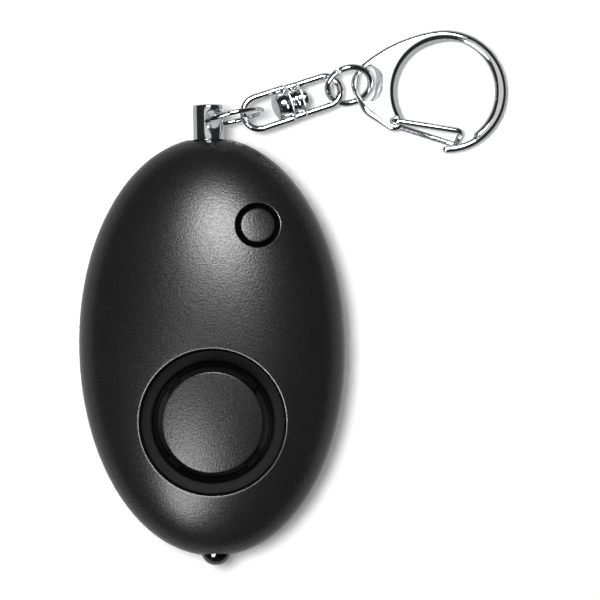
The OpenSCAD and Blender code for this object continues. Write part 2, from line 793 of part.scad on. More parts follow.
module swivel_yoke() color("#cfd1d4") swivel_frame() difference() {
    union() {
        translate([swivel_len, 0, 0]) mirror([1, 0, 0]) wire_loop(swivel_len - drum_mid - fit);
        x_drum(drum_r, drum_mid + fit, drum_mid + drum_t);
    }
    x_drum(rivet_r + fit, 0, drum_mid + drum_t + over);
}

module swivel_rivet() color("#c2c4c8") swivel_frame() {
    x_drum(rivet_r, drum_mid - drum_t - drum_cone, drum_mid + drum_t + fit + rivet_head_t / 2);
    x_drum(rivet_head_r, drum_mid + drum_t + fit, drum_mid + drum_t + fit + rivet_head_t);
}

module link_ring() color("#d0d2d5")
    translate(link_at) rotate([0, link_pitch, link_heading]) rotate([link_tilt, 0, 0])
        rotate(link_cut_at + link_cut / 2) rotate_extrude(angle = 360 - link_cut)
            translate([link_r, 0]) circle(d = link_wire);

module hook_frame() {
    translate(hook_at) rotate([0, hook_pitch, hook_heading]) children();
}

// Flat of the hook, between its small hole and its eye
module hook_plate() {
    difference() {
        hull() {
            translate([-hook_arm, 0]) circle(r = hole_w / 2 + hole_rim, $fn = 32);
            for (c = plate_rounds) translate(c[0]) circle(r = c[1], $fn = 48);
            translate(boss_at) circle(r = boss_r, $fn = 32);
            intersection() {
                circle(r = hook_outer, $fn = 96);
                translate([-hook_outer, 0]) square(hook_outer - 1);
            }
        }
        circle(r = hook_r);
        translate([-hook_r / 2, -2 * hook_outer]) square(4 * hook_outer);
        translate([-hook_arm, 0]) {
            square([hole_w, hole_h - hole_w], center = true);
            for (s = [-1, 1]) translate([0, s * (hole_h - hole_w) / 2]) circle(d = hole_w);
        }
        translate(boss_at) circle(d = gate_wire + 2 * fit);
    }
}

module snap_hook() color("#d3d5d8") hook_frame() {
    translate([0, 0, -hook_t / 2]) linear_extrude(hook_t) hook_plate();
    bar = (hook_r + hook_outer) / 2;
    rotate(rod_from) rotate_extrude(angle = rod_to - rod_from) translate([bar, 0]) circle(d = hook_bar);
    rotate(nose_from) rotate_extrude(angle = nose_to - nose_from)
        translate([hook_outer - nose_wall, -nose_t / 2]) square([nose_wall, nose_t]);
}

// One bent wire: along the front of the hook to the nose, round it, and back behind the hook
module hook_gate() color("#c8cacd") hook_frame() {
    path = [
        [boss_at[0], boss_at[1], gate_lift], [gate_front[0], gate_front[1], gate_lift],
        [gate_back[0], gate_back[1], -gate_lift], [gate_foot[0], gate_foot[1], -gate_lift],
        [boss_at[0], boss_at[1], -gate_lift]
    ];
    tube(bent(path, gate_bend), gate_wire / 2, 10);
    pin_half = gate_lift + gate_wire / 2;
    translate([boss_at[0], boss_at[1], -pin_half]) cylinder(d = gate_wire, h = 2 * pin_half);
}

front_shell();
rear_shell();
siren_cap();
piezo_disc();
piezo_ceramic();
piezo_retainer();
light_button();
switch_body();
switch_plunger();
circuit_board();
board_screws();
boost_coil();
alarm_chip();
capacitor();
contact_leaves();
pin_socket();
pin_stem();
pin_tip();
pin_head();
lamp_lens();
lamp_leads();
lamp_wires();
siren_wires();
battery_wires();
button_cells();
plus_contact();
minus_contact();
battery_door();
door_screw();
case_screws();
pin_ring();
swivel_eye();
swivel_yoke();
swivel_rivet();
link_ring();
snap_hook();
hook_gate();
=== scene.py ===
# %% [markdown]
# # Dressing a personal alarm
#
# The CAD model of the alarm is loaded as a fixed frame, in metres. This lesson gives it the surfaces
# that the eye expects: shells with soft edges, bright plated wire and a clear lamp. Every new piece
# takes its place from the frame, so nothing has to be fitted by eye.

# %% Load the frame
import json
import math

import bmesh
import bpy
from mathutils import Euler, Matrix, Vector


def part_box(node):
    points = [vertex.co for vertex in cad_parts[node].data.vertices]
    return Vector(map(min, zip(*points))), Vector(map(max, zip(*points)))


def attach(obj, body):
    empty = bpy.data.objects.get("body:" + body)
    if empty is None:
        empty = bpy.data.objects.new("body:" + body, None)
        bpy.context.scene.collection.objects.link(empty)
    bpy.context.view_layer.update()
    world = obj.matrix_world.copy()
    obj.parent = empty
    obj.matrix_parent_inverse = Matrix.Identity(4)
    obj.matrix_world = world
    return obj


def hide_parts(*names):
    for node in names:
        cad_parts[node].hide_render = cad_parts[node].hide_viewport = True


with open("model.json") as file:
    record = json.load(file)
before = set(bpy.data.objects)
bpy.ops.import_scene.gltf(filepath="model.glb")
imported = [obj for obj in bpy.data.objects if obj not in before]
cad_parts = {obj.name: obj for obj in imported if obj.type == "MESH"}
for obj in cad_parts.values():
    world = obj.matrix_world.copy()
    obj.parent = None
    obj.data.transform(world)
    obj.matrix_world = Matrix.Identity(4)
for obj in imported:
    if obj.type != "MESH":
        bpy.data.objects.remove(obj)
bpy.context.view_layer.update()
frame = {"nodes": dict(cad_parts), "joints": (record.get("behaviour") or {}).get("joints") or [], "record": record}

MM = 0.001
bpy.ops.object.select_all(action="DESELECT")

# %% [markdown]
# ## Camera
#
# The photograph looks straight down at the alarm from far away. A long lens at about seventy
# centimetres gives the same flat view. The camera sits over the middle of the picture, not over the
# middle of the case, because the chain reaches far out to the right.

# %% Camera over the picture's middle
SEAM = 10.5
CAMERA_AT = (13.96, 7.10, SEAM + 700.0)
CAMERA_TURN = -1.08
LENS = 266.2
CLIP = (0.01, 20)

bpy.ops.object.camera_add(
    location=Vector(CAMERA_AT) * MM, rotation=(0, 0, math.radians(CAMERA_TURN))
)
camera = bpy.context.object
camera.name = "camera"
camera.data.lens = LENS
camera.data.clip_start, camera.data.clip_end = CLIP
bpy.context.scene.camera = camera
bpy.context.scene.view_settings.view_transform = "Standard"
print("camera at", [round(x, 4) for x in camera.location], "lens", camera.data.lens)

# %% [markdown]
# ## Nodes and colours
#
# Every material is a small tree of nodes. One function adds a node, sets what it is given and links
# what it is given, so a tree reads from top to bottom. Colours are written as they are on a screen,
# and one function turns them into the linear light that Blender works in.

# %% Helpers for material trees
def paint(code):
    """An sRGB hex colour as linear RGBA."""
    parts = [int(code[i:i + 2], 16) / 255 for i in (1, 3, 5)]
    return tuple(p / 12.92 if p <= 0.04045 else ((p + 0.055) / 1.055) ** 2.4 for p in parts) + (1.0,)


def add(tree, kind, inputs=None, **settings):
    """A node of that kind with its settings; an input is a value, or a socket to link from."""
    made = tree.nodes.new(kind)
    for name, value in settings.items():
        setattr(made, name, value)
    for socket, value in (inputs or {}).items():
        if isinstance(value, bpy.types.NodeSocket):
            tree.links.new(value, made.inputs[socket])
        else:
            made.inputs[socket].default_value = value
    return made


def new_finish(name):
    """An empty material and its tree."""
    finish = bpy.data.materials.new(name)
    finish.use_nodes = True
    finish.node_tree.nodes.clear()
    return finish, finish.node_tree


print("black plastic in linear light:", [round(x, 4) for x in paint("#262626")])

# %% [markdown]
# ## The studio
#
# The photograph was taken on a white table, in a dark room with a soft light overhead. Chrome shows
# this plainly: a white stripe where it faces up, a black band where it faces the room, and white
# again where it looks down at the table. The world is painted the same way, by direction: a bright
# long panel overhead, and a dark room down to the horizon.

# %% World with a bright panel overhead
PANEL_HALF = (24, 7.5)
PANEL_TO_PIN = 2
PANEL_OUT, PANEL_IN = 1.2, 0.8
PANEL_LIGHT, WHITE = (1.1, 1.1, 1.1, 1), (1, 1, 1, 1)
ROOM = "#383838"

world = bpy.data.worlds.new("studio")
bpy.context.scene.world = world
world.use_nodes = True
sky = world.node_tree
sky.nodes.clear()
look = add(sky, "ShaderNodeTexCoord")
flat = add(sky, "ShaderNodeVectorMath", {
    0: look.outputs["Generated"], 1: (0, math.sin(math.radians(PANEL_TO_PIN)), 0),
}, operation="SUBTRACT")
scaled = add(sky, "ShaderNodeVectorMath", {
    0: flat.outputs["Vector"], 1: (*[1 / math.sin(math.radians(half)) for half in PANEL_HALF], 0),
}, operation="MULTIPLY")
out_by = add(sky, "ShaderNodeVectorMath", {0: scaled.outputs["Vector"]}, operation="LENGTH")
panel = add(sky, "ShaderNodeMapRange", {
    "Value": out_by.outputs["Value"], "From Min": PANEL_OUT, "From Max": PANEL_IN,
}, interpolation_type="SMOOTHSTEP")
shade = add(sky, "ShaderNodeMix", {
    "Factor": panel.outputs["Result"], 6: paint(ROOM), 7: PANEL_LIGHT,
}, data_type="RGBA")
rays = add(sky, "ShaderNodeLightPath")
seen = add(sky, "ShaderNodeMix", {
    "Factor": rays.outputs["Is Camera Ray"], 6: shade.outputs[2], 7: WHITE,
}, data_type="RGBA")
glow = add(sky, "ShaderNodeBackground", {"Color": seen.outputs[2], "Strength": 1.0})
add(sky, "ShaderNodeOutputWorld", {"Surface": glow.outputs["Background"]})
print("bright panel, half sizes in degrees:", PANEL_HALF)

# %% [markdown]
# ## Lamps
#
# Two soft boxes make the lights that show on the black case: one above the pin's end, and a long
# narrow one low on the left, near the lamp's end. They are only seen mirrored. A third lamp lights
# the colours: it hangs overhead, a little to the upper left, so the soft shadow falls to the lower
# right, and shiny surfaces don't mirror it.

# %% Soft boxes and a fill
def soft_box(name, toward, tilt, away, size, power):
    """A lamp of that width and length: tilt is its angle from straight up, toward its direction."""
    flat = Vector((toward[0], toward[1], 0)).normalized()
    up = flat * math.sin(math.radians(tilt)) + Vector((0, 0, math.cos(math.radians(tilt))))
    across = Vector((0, 0, 1)).cross(flat)
    turned = Matrix((across, up.cross(across), up)).transposed().to_euler()
    bpy.ops.object.light_add(type="AREA", location=up * away, rotation=turned)
    lamp = bpy.context.object
    lamp.name = name
    lamp.data.shape = "ELLIPSE"
    lamp.data.size, lamp.data.size_y = size
    lamp.data.energy = power
    print(name, "at", [round(x, 3) for x in lamp.location], "W", power)
    return lamp


key_box = soft_box("key_box", (0.165, 0.986), 28, 0.80, (0.38, 0.36), 15.7)
low_box = soft_box("low_box", (-0.447, -0.894), 39, 0.80, (0.34, 0.69), 13.0)
key_box.visible_diffuse = low_box.visible_diffuse = False
fill_box = soft_box("fill_box", (-0.85, 0.5), 7, 0.80, (0.17, 0.17), 6.0)
fill_box.visible_glossy = False

# %% [markdown]
# ## The table
#
# The table is a plain white floor. A white floor under studio light still renders a little grey, so
# the camera, also through glass, sees some light added to it. The rest of its brightness is real, and
# so the alarm's soft shadow stays. Shiny surfaces see a painted reflection instead: the floor glows
# an even pale grey for them, without the shadow, and fades to nearly black well out of the picture,
# as dark cards round it would: so chrome keeps its edges on a white table.

# %% White floor
FLOOR_SIZE, FLOOR_Z = 6.0, -0.0001
SHEET = (110.0, 150.0)
SHEET_GREY, FAR_GLOW_GREY = 0.75, 0.02
LIFT_BY = 0.20
floor_finish, tree = new_finish("white_table")
rays = add(tree, "ShaderNodeLightPath")
where = add(tree, "ShaderNodeTexCoord").outputs["Object"]
far = add(tree, "ShaderNodeVectorMath", {
    0: where, 1: (CAMERA_AT[0] * MM, CAMERA_AT[1] * MM, 0),
}, operation="DISTANCE")
reflected_glow = add(tree, "ShaderNodeMapRange", {
    "Value": far.outputs["Value"], "From Min": SHEET[0] * MM, "From Max": SHEET[1] * MM,
    "To Min": SHEET_GREY, "To Max": FAR_GLOW_GREY,
}, interpolation_type="SMOOTHSTEP")
looked = add(tree, "ShaderNodeMath", {
    0: rays.outputs["Is Camera Ray"], 1: rays.outputs["Is Transmission Ray"],
}, operation="MAXIMUM")
lift = add(tree, "ShaderNodeMath", {0: looked.outputs["Value"], 1: LIFT_BY}, operation="MULTIPLY")
matt = add(tree, "ShaderNodeBsdfDiffuse", {"Color": paint("#ededed")})
light = add(tree, "ShaderNodeEmission", {"Color": WHITE, "Strength": lift.outputs["Value"]})
white = add(tree, "ShaderNodeAddShader", {0: matt.outputs["BSDF"], 1: light.outputs["Emission"]})
# what shiny surfaces see of the floor: a glow, a painted reflection
mirrored = add(tree, "ShaderNodeEmission", {"Color": WHITE, "Strength": reflected_glow.outputs["Result"]})
both = add(tree, "ShaderNodeMixShader", {
    "Fac": rays.outputs["Is Glossy Ray"], 1: white.outputs["Shader"], 2: mirrored.outputs["Emission"],
})
add(tree, "ShaderNodeOutputMaterial", {"Surface": both.outputs["Shader"]})

bpy.ops.mesh.primitive_plane_add(size=FLOOR_SIZE, location=(0, 0, FLOOR_Z))
floor = bpy.context.object
floor.name = "floor"
floor.data.materials.append(floor_finish)
bpy.ops.object.transform_apply()
print("floor of", FLOOR_SIZE, "m")

# %% [markdown]
# ## Moulded ABS
#
# The case is injection moulded ABS, black all through. The tool was etched, so the surface has a
# fine satin grain: it scatters a highlight into a wide grey sheen, and glancing views pick up the
# white table. The real grain is about a tenth of a millimetre wide, too fine to show at this
# distance, so it is drawn about three times as coarse. Inside the recess and the button's hole the
# plastic is drawn matte and darker, and darker still down in the throat, the groove and the gaps
# round the cap and the button: that darkening is painted shade. The sharp rims are painted a paler
# grey, which is a painted highlight.

# %% Black moulded plastic
GRAIN = 0.32
CLOUD = 9.0
UNEVEN = 0.06


def moulded(name, deep, pale, roughness, grain, depth, shine=0.42):
    """Moulded plastic: two close shades, and a grain that many mm wide and that many mm deep."""
    finish, tree = new_finish(name)
    where = add(tree, "ShaderNodeTexCoord").outputs["Object"]
    fine = add(tree, "ShaderNodeTexNoise", {
        "Vector": where, "Scale": 1 / (grain * MM), "Detail": 2.0, "Roughness": 0.55,
    })
    broad = add(tree, "ShaderNodeTexNoise", {"Vector": where, "Scale": 1 / (CLOUD * MM), "Detail": 3.0})
    shade = add(tree, "ShaderNodeMix", {
        "Factor": broad.outputs["Fac"], 6: paint(deep), 7: paint(pale),
    }, data_type="RGBA")
    rough = add(tree, "ShaderNodeMapRange", {
        "Value": fine.outputs["Fac"], "From Min": 0.3, "From Max": 0.7,
        "To Min": roughness - UNEVEN, "To Max": roughness + UNEVEN,
    })
    etched = add(tree, "ShaderNodeBump", {
        "Height": fine.outputs["Fac"], "Strength": 0.6, "Distance": depth * MM,
    })
    skin = add(tree, "ShaderNodeBsdfPrincipled", {
        "Base Color": shade.outputs[2], "Roughness": rough.outputs["Result"],
        "Normal": etched.outputs["Normal"], "IOR": 1.54, "Specular IOR Level": shine,
    })
    add(tree, "ShaderNodeOutputMaterial", {"Surface": skin.outputs["BSDF"]})
    return finish


abs_case = moulded("moulded_abs_black", "#19191a", "#1f1f20", 0.30, GRAIN, 0.05, 0.2)
# matte plastic in a darker colour: painted shade inside the recess and the button's hole
abs_matte_painted_shade = moulded("moulded_abs_matte_painted_shade", "#080809", "#0c0c0d", 0.62, GRAIN, 0.05, 0.06)
# near black: painted shade in the throat, the groove and the gaps round the cap and the button
abs_painted_shade = moulded("moulded_abs_painted_shade", "#060607", "#09090a", 0.8, GRAIN, 0.05, 0.03)
# paler grey: a painted highlight along the sharp rims
abs_rim_highlight = moulded("moulded_abs_painted_rim_highlight", "#3e3e40", "#4e4e50", 0.3, GRAIN, 0.01)
abs_inner = moulded("moulded_abs_inner", "#2b2c2e", "#343538", 0.5, 0.6, 0.02)
nylon_white = moulded("moulded_nylon_white", "#d6d4ca", "#e4e2d9", 0.42, 0.5, 0.01)
print("grain drawn", GRAIN, "mm wide")

# %% [markdown]
# ## Chrome and other metals
#
# The chain is nickel and chrome plated. Plating is a smooth mirror, so its look comes from the studio,
# but chromium gives back only a little over half of the light, which keeps the wires grey. It is never
# quite even: the polished base metal leaves a faint ripple, a millimetre or two long, and handling
# leaves slightly duller spots. The hook's flat faces get a much paler chrome than the wires, so that
# they mirror the overhead panel as white: that is a painted highlight. Hollows that the wheel can't
# reach keep the dull grey of the casting. The other metals differ in colour and polish.

# %% Metals
SPOT = 0.7


def metal(name, deep, pale, roughness, ripple, depth):
    """A bare or plated metal: two close colours, its roughness, and a ripple that long and deep in mm."""
    finish, tree = new_finish(name)
    where = add(tree, "ShaderNodeTexCoord").outputs["Object"]
    wave = add(tree, "ShaderNodeTexNoise", {"Vector": where, "Scale": 1 / (ripple * MM), "Detail": 1.0})
    spots = add(tree, "ShaderNodeTexNoise", {"Vector": where, "Scale": 1 / (SPOT * MM), "Detail": 4.0})
    shade = add(tree, "ShaderNodeMix", {
        "Factor": spots.outputs["Fac"], 6: paint(deep), 7: paint(pale),
    }, data_type="RGBA")
    rough = add(tree, "ShaderNodeMapRange", {
        "Value": spots.outputs["Fac"], "From Min": 0.35, "From Max": 0.75,
        "To Min": roughness * 0.7, "To Max": roughness * 1.5,
    })
    uneven = add(tree, "ShaderNodeBump", {
        "Height": wave.outputs["Fac"], "Strength": 0.3, "Distance": depth * MM,
    })
    skin = add(tree, "ShaderNodeBsdfPrincipled", {
        "Base Color": shade.outputs[2], "Metallic": 1.0, "Roughness": rough.outputs["Result"],
        "Normal": uneven.outputs["Normal"],
    })
    add(tree, "ShaderNodeOutputMaterial", {"Surface": skin.outputs["BSDF"]})
    return finish


chrome = metal("chrome_plate", "#b2b4b7", "#c0c2c5", 0.08, 1.6, 0.008)
# much paler than the chrome of the wires: a painted highlight, so the flat faces read white
chrome_flat_painted_bright = metal("chrome_flat_painted_highlight", "#eef0f2", "#f8f9fa", 0.08, 1.6, 0.008)
steel = metal("zinc_plated_steel", "#a9acb0", "#c6c9cc", 0.26, 0.5, 0.03)
brass = metal("rolled_brass", "#b98d3f", "#d2a955", 0.24, 0.8, 0.02)
chrome_cast = metal("chrome_on_raw_casting", "#b9bbbe", "#cfd1d3", 0.42, 0.4, 0.03)
# near black: painted shade in the gap at the foot of the pin's head
brass_painted_shade = metal("brass_painted_shade_black", "#1c1a16", "#2b2822", 0.4, 0.8, 0.02)
print("metals:", chrome.name, steel.name, brass.name)

# %% [markdown]
# ## Extruding ring by ring
#
# A shell with a recess in it is hard to shape from a sphere. It is easier to start from one ring of
# vertices and extrude it again and again, setting each new ring where the surface goes next. Each
# vertex remembers its column, so a ring can be any closed line, round or not.

# %% Selecting and smoothing
def pick(*pieces):
    """Selects these pieces and nothing else; the first one becomes the active piece."""
    bpy.ops.object.select_all(action="DESELECT")
    for piece in pieces:
        piece.select_set(True)
    if pieces:
        bpy.context.view_layer.objects.active = pieces[0]


def smooth_below(degrees):
    """Shades the active piece smooth, but for edges that turn by more than that angle."""
    bpy.ops.object.shade_smooth_by_angle(angle=math.radians(degrees))


# %% Lofting rings
WELD = 0.001


def begin_ring(name, ring, filled):
    """A circle in edit mode with its vertices on the ring, given in mm."""
    pick()
    bpy.ops.mesh.primitive_circle_add(
        vertices=len(ring), radius=MM, fill_type="NGON" if filled else "NOTHING", enter_editmode=True,
    )
    piece = bpy.context.object
    piece.name = piece.data.name = name
    shape = bmesh.from_edit_mesh(piece.data)
    column = shape.verts.layers.int.new("column")
    for i, vert in enumerate(shape.verts):
        vert[column] = i
    set_ring(piece, ring)
    return piece


def set_ring(piece, ring):
    """Puts the selected vertices on the ring."""
    shape = bmesh.from_edit_mesh(piece.data)
    column = shape.verts.layers.int["column"]
    for vert in shape.verts:
        if vert.select:
            vert.co = Vector(ring[vert[column]]) * MM
    bmesh.update_edit_mesh(piece.data)


def close_up(piece, smooth=35):
    """Merges doubles, points the faces outwards, and smooths all edges below that angle."""
    bpy.ops.mesh.select_all(action="SELECT")
    bpy.ops.mesh.remove_doubles(threshold=WELD * MM)
    bpy.ops.mesh.normals_make_consistent(inside=False)
    bpy.ops.object.mode_set(mode="OBJECT")
    if "column" in piece.data.attributes:
        piece.data.attributes.remove(piece.data.attributes["column"])
    smooth_below(smooth)


def loft(name, rings, filled=True, smooth=35):
    """A skin through the rings, with its two ends filled or left open."""
    piece = begin_ring(name, rings[0], filled)
    for ring in rings[1:]:
        bpy.ops.mesh.extrude_region_move()
        set_ring(piece, ring)
    close_up(piece, smooth)
    return piece


print("points closer than", WELD, "mm are merged")

# %% [markdown]
# A Boolean can leave slivers where two surfaces nearly meet, so each one is followed by a merge of
# points that fall together. A finished piece is dressed: it gets its material, it is hung on an empty
# for the body on which it rides, and the CAD nodes it replaces are hidden. Some faces are then coated
# with a second finish, picked by their place.

# %% Combining, dressing and coating
def combine(piece, other, operation):
    """Joins the other piece to this one, or cuts it away, deletes the other and welds slivers shut."""
    pick(piece)
    step = piece.modifiers.new("combine", "BOOLEAN")
    step.operation = operation
    step.solver = "EXACT"
    step.object = other
    bpy.ops.object.modifier_apply(modifier=step.name)
    bpy.data.objects.remove(other)
    bpy.ops.object.mode_set(mode="EDIT")
    bpy.ops.mesh.select_all(action="SELECT")
    bpy.ops.mesh.remove_doubles(threshold=WELD * MM)
    bpy.ops.mesh.dissolve_degenerate(threshold=WELD * MM)
    bpy.ops.object.mode_set(mode="OBJECT")


def dress(piece, finish, body, slot, *nodes):
    """Gives a finished piece its material, hangs it on its body's empty and hides the CAD nodes it replaces."""
    piece.data.materials.clear()
    piece.data.materials.append(finish)
    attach(piece, body)
    if nodes:
        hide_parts(*nodes)
    print(piece.name, "faces:", len(piece.data.polygons))


def coat(piece, finish, picks):
    """Gives another finish to the faces that the test picks by their middle, in mm."""
    piece.data.materials.append(finish)
    last = len(piece.data.materials) - 1
    picked = [face for face in piece.data.polygons if picks(face.center / MM)]
    for face in picked:
        face.material_index = last
    print(" ", finish.name, "on", len(picked), "faces of", piece.name)


print("materials ready for dressing:", len(bpy.data.materials))

# %% [markdown]
# ## The egg shape
#
# Seen from above the case is nearly an ellipse, a little fuller. From the side its front is a dome.
# One number, the share, says how far out a point is: 0 in the middle and 1 on the outline. The height
# of the dome follows from the share, so every edge that lies on the dome can ask for its height.

# %% Egg and dome
HALF_W, HALF_L = 21.0, 33.0
OUTLINE_POWER = 2.03
FRONT_H, FRONT_POWER = 12.0, 2.2
BACK_FULL, BACK_POWER = 11.5, 3.0
WALL = 1.8
HALVINGS = 48


def share(x, y, inset=0.0):
    """0 in the middle of the egg, 1 on its outline, which may be set in by some mm."""
    p = OUTLINE_POWER
    return ((abs(x) / (HALF_W - inset)) ** p + (abs(y) / (HALF_L - inset)) ** p) ** (1 / p)


def dome(x, y, drop=0.0, inset=0.0):
    """Height of the front at a point, for a dome lower by drop and narrower by inset."""
    s = min(share(x, y, inset), 1.0)
    return SEAM + (FRONT_H - drop) * (1 - s ** FRONT_POWER) ** (1 / FRONT_POWER)


def reach(centre, angle, inset=0.0):
    """Distance from a point to the egg's outline in one direction."""
    near, far = 0.0, 2 * HALF_L
    for _ in range(HALVINGS):
        mid = (near + far) / 2
        x = centre[0] + mid * math.cos(angle)
        y = centre[1] + mid * math.sin(angle)
        near, far = (mid, far) if share(x, y, inset) < 1 else (near, mid)
    return near


print("dome over the middle:", round(dome(0, 0), 2), "mm")

# %% [markdown]
# ## Front shell
#
# The front half of the case has the siren's round recess moulded into it: a crisp rim, a wall down to
# a ledge, and a throat below the ledge. The whole shell is one loft that starts in the throat, runs
# up over the rim, out over the dome to the seam, and back along the inside of the wall. The rim has a
# tiny rounded edge, because that edge catches the light as a thin bright line.

# %% Loft of the front shell
COLUMNS = 288
SIREN = (0.0, -11.7)
SIREN_R, THROAT_R, THROAT_OPEN_R = 11.7, 9.4, 8.8
LEDGE_Z, SHOULDER_Z, POCKET_Z, CUP_Z = SEAM + 7.0, SEAM + 5.2, SEAM + 4.2, SEAM + 2.95
POCKET_R, CUP_R = 11.5, 13.2
RIM_EASE = 0.22
LINE_W, LINE_D = 0.35, 0.45
LEDGE_FALL, LEDGE_ROUND = 0.28, 0.7
LEDGE_HOLD, WALL_PART = 0.05, 0.97
SHOULDER_EASE, THROAT_EASE = 0.15, 0.1
SEAM_EASE = 0.18
DOME_RINGS, INNER_RINGS = 54, 16
turns = [2 * math.pi * i / COLUMNS for i in range(COLUMNS)]


def siren_ring(radius, height):
    """A ring round the siren; height is a number or a function of the point."""
    points = [(SIREN[0] + radius * math.cos(a), SIREN[1] + radius * math.sin(a)) for a in turns]
    return [(x, y, height(x, y) if callable(height) else height) for x, y in points]


def dome_ring(part, start_r, drop, inset, floor_z=SEAM):
    """A ring on a dome, part of the way from radius start_r round the siren to the outline."""
    ring = []
    for a in turns:
        r = start_r + (reach(SIREN, a, inset) - start_r) * part
        x, y = SIREN[0] + r * math.cos(a), SIREN[1] + r * math.sin(a)
        ring.append((x, y, max(dome(x, y, drop, inset), floor_z)))
    return ring


def blend_rings(first, corner, last, steps):
    """Rings that round a corner: from the first ring to the last, bent towards the corner."""
    made = []
    for k in range(steps + 1):
        f = k / steps
        made.append([
            tuple((1 - f) ** 2 * p + 2 * f * (1 - f) * q + f * f * r for p, q, r in zip(*three))
            for three in zip(first, corner, last)
        ])
    return made


lip = LEDGE_Z - LEDGE_FALL
wall_r = SIREN_R - RIM_EASE
rings = [siren_ring(THROAT_OPEN_R, POCKET_Z), siren_ring(THROAT_OPEN_R, SHOULDER_Z - SHOULDER_EASE)]
rings += [siren_ring(THROAT_OPEN_R + SHOULDER_EASE, SHOULDER_Z)]
rings += [siren_ring(THROAT_R - THROAT_EASE, SHOULDER_Z), siren_ring(THROAT_R, SHOULDER_Z + THROAT_EASE)]
rings += [siren_ring(THROAT_R, lip - LEDGE_ROUND - LEDGE_HOLD)]
rings += blend_rings(
    siren_ring(THROAT_R, lip - LEDGE_ROUND), siren_ring(THROAT_R, lip),
    siren_ring(THROAT_R + LEDGE_ROUND, lip), steps=6)
rings += [siren_ring(wall_r - LINE_W, LEDGE_Z), siren_ring(wall_r - LINE_W, LEDGE_Z - LINE_D)]
rings += [siren_ring(wall_r, LEDGE_Z - LINE_D)]
rings += [siren_ring(wall_r, lambda x, y: LEDGE_Z + (dome(x, y) - RIM_EASE - LEDGE_Z) * WALL_PART)]
rings += blend_rings(
    siren_ring(wall_r, lambda x, y: dome(x, y) - RIM_EASE), siren_ring(wall_r, dome),
    siren_ring(SIREN_R, dome), steps=4)
for k in range(1, DOME_RINGS):
    rings.append(dome_ring(math.sin(math.pi / 2 * k / DOME_RINGS), SIREN_R, 0, 0, SEAM + SEAM_EASE))
rim_out = [(x, y, SEAM + SEAM_EASE) for x, y, z in dome_ring(1, SIREN_R, 0, 0)]
rim_low = [(x, y, SEAM) for x, y, z in dome_ring(1, SIREN_R, 0, SEAM_EASE)]
rings += [rim_out, rim_low]
for k in range(INNER_RINGS + 1):
    part = math.cos(math.pi / 2 * k / INNER_RINGS)
    rings.append(dome_ring(part, CUP_R, WALL, WALL))
rings += [siren_ring(CUP_R, CUP_Z), siren_ring(POCKET_R, CUP_Z), siren_ring(POCKET_R, POCKET_Z), rings[0]]
front = loft("front_case", rings, filled=False)
print("rings:", len(rings), "columns:", COLUMNS)

# %% [markdown]
# The button's hole has a boss round it on the inside, and a tiny rounded chamfer on the outside that
# follows the dome. Where the chamfer meets the dome, its edges are marked sharp: otherwise the smoothing
# would run on into the dome's large faces and stain them. The pin's bore and the lamp's bore lie on the
# seam. All of these are added or cut with the Boolean modifier, as one would by hand.

# %% Boss, button hole and seam bores
BUTTON = (7.6, 18.9)
BUTTON_HOLE_R, BOSS_R, BOSS_Z = 3.5, 5.2, SEAM + 4.6
HOLE_EASE, HOLE_BEND, PROUD = 0.15, 0.3, 0.01
BOSS_SINK = 0.7
PIN_BORE_R, PIN_SEAT_R, LAMP_BORE_R, LAMP_FLANGE_R = 2.7, 3.3, 2.55, 3.0
PIN_BORE_Y, PIN_SEAT_Y, PIN_OUT_Y = 26.0, 32.3, 34.0
LAMP_OUT_Y, LAMP_FLANGE_Y, LAMP_IN_Y = -34.0, -27.0, -25.0
ROUND = 96


def round_ring(centre, radius, height, count=ROUND):
    """A ring round an upright axis; height is a number or a function of the point."""
    points = [(centre[0] + radius * math.cos(2 * math.pi * i / count),
               centre[1] + radius * math.sin(2 * math.pi * i / count)) for i in range(count)]
    return [(x, y, height(x, y) if callable(height) else height) for x, y in points]


boss = loft("boss", [round_ring(BUTTON, BOSS_R, BOSS_Z),
                     round_ring(BUTTON, BOSS_R, lambda x, y: dome(x, y) - BOSS_SINK)])
combine(front, boss, "UNION")
hole = loft("hole", [
    round_ring(BUTTON, BUTTON_HOLE_R, BOSS_Z - 1),
    round_ring(BUTTON, BUTTON_HOLE_R, lambda x, y: dome(x, y) - HOLE_EASE),
    round_ring(BUTTON, BUTTON_HOLE_R + HOLE_BEND * HOLE_EASE, lambda x, y: dome(x, y) - HOLE_BEND * HOLE_EASE),
    round_ring(BUTTON, BUTTON_HOLE_R + HOLE_EASE, lambda x, y: dome(x, y) + PROUD),
    round_ring(BUTTON, BUTTON_HOLE_R + HOLE_EASE, SEAM + FRONT_H),
])
combine(front, hole, "DIFFERENCE")


def lying_ring(y, radius, count=ROUND):
    """A ring round the seam's middle line, at one place along the case."""
    return [(radius * math.cos(2 * math.pi * i / count), y,
             SEAM + radius * math.sin(2 * math.pi * i / count)) for i in range(count)]


def seam_bores():
    """A cutter for the pin's seat and bore, and one for the lamp's bore."""
    pin = loft("pin_bore", [
        lying_ring(PIN_BORE_Y, PIN_BORE_R), lying_ring(PIN_SEAT_Y, PIN_BORE_R),
        lying_ring(PIN_SEAT_Y, PIN_SEAT_R), lying_ring(PIN_OUT_Y, PIN_SEAT_R)])
    lamp = loft("lamp_bore", [
        lying_ring(LAMP_OUT_Y, LAMP_BORE_R), lying_ring(LAMP_FLANGE_Y, LAMP_BORE_R),
        lying_ring(LAMP_FLANGE_Y, LAMP_FLANGE_R), lying_ring(LAMP_IN_Y, LAMP_FLANGE_R)])
    return pin, lamp


for cutter in seam_bores():
    combine(front, cutter, "DIFFERENCE")
smooth_below(30)


SKIN, MEET_W = 0.01, 0.06


def off_axis(point, axis):
    """Distance from an upright axis."""
    return math.hypot(point.x - axis[0], point.y - axis[1])


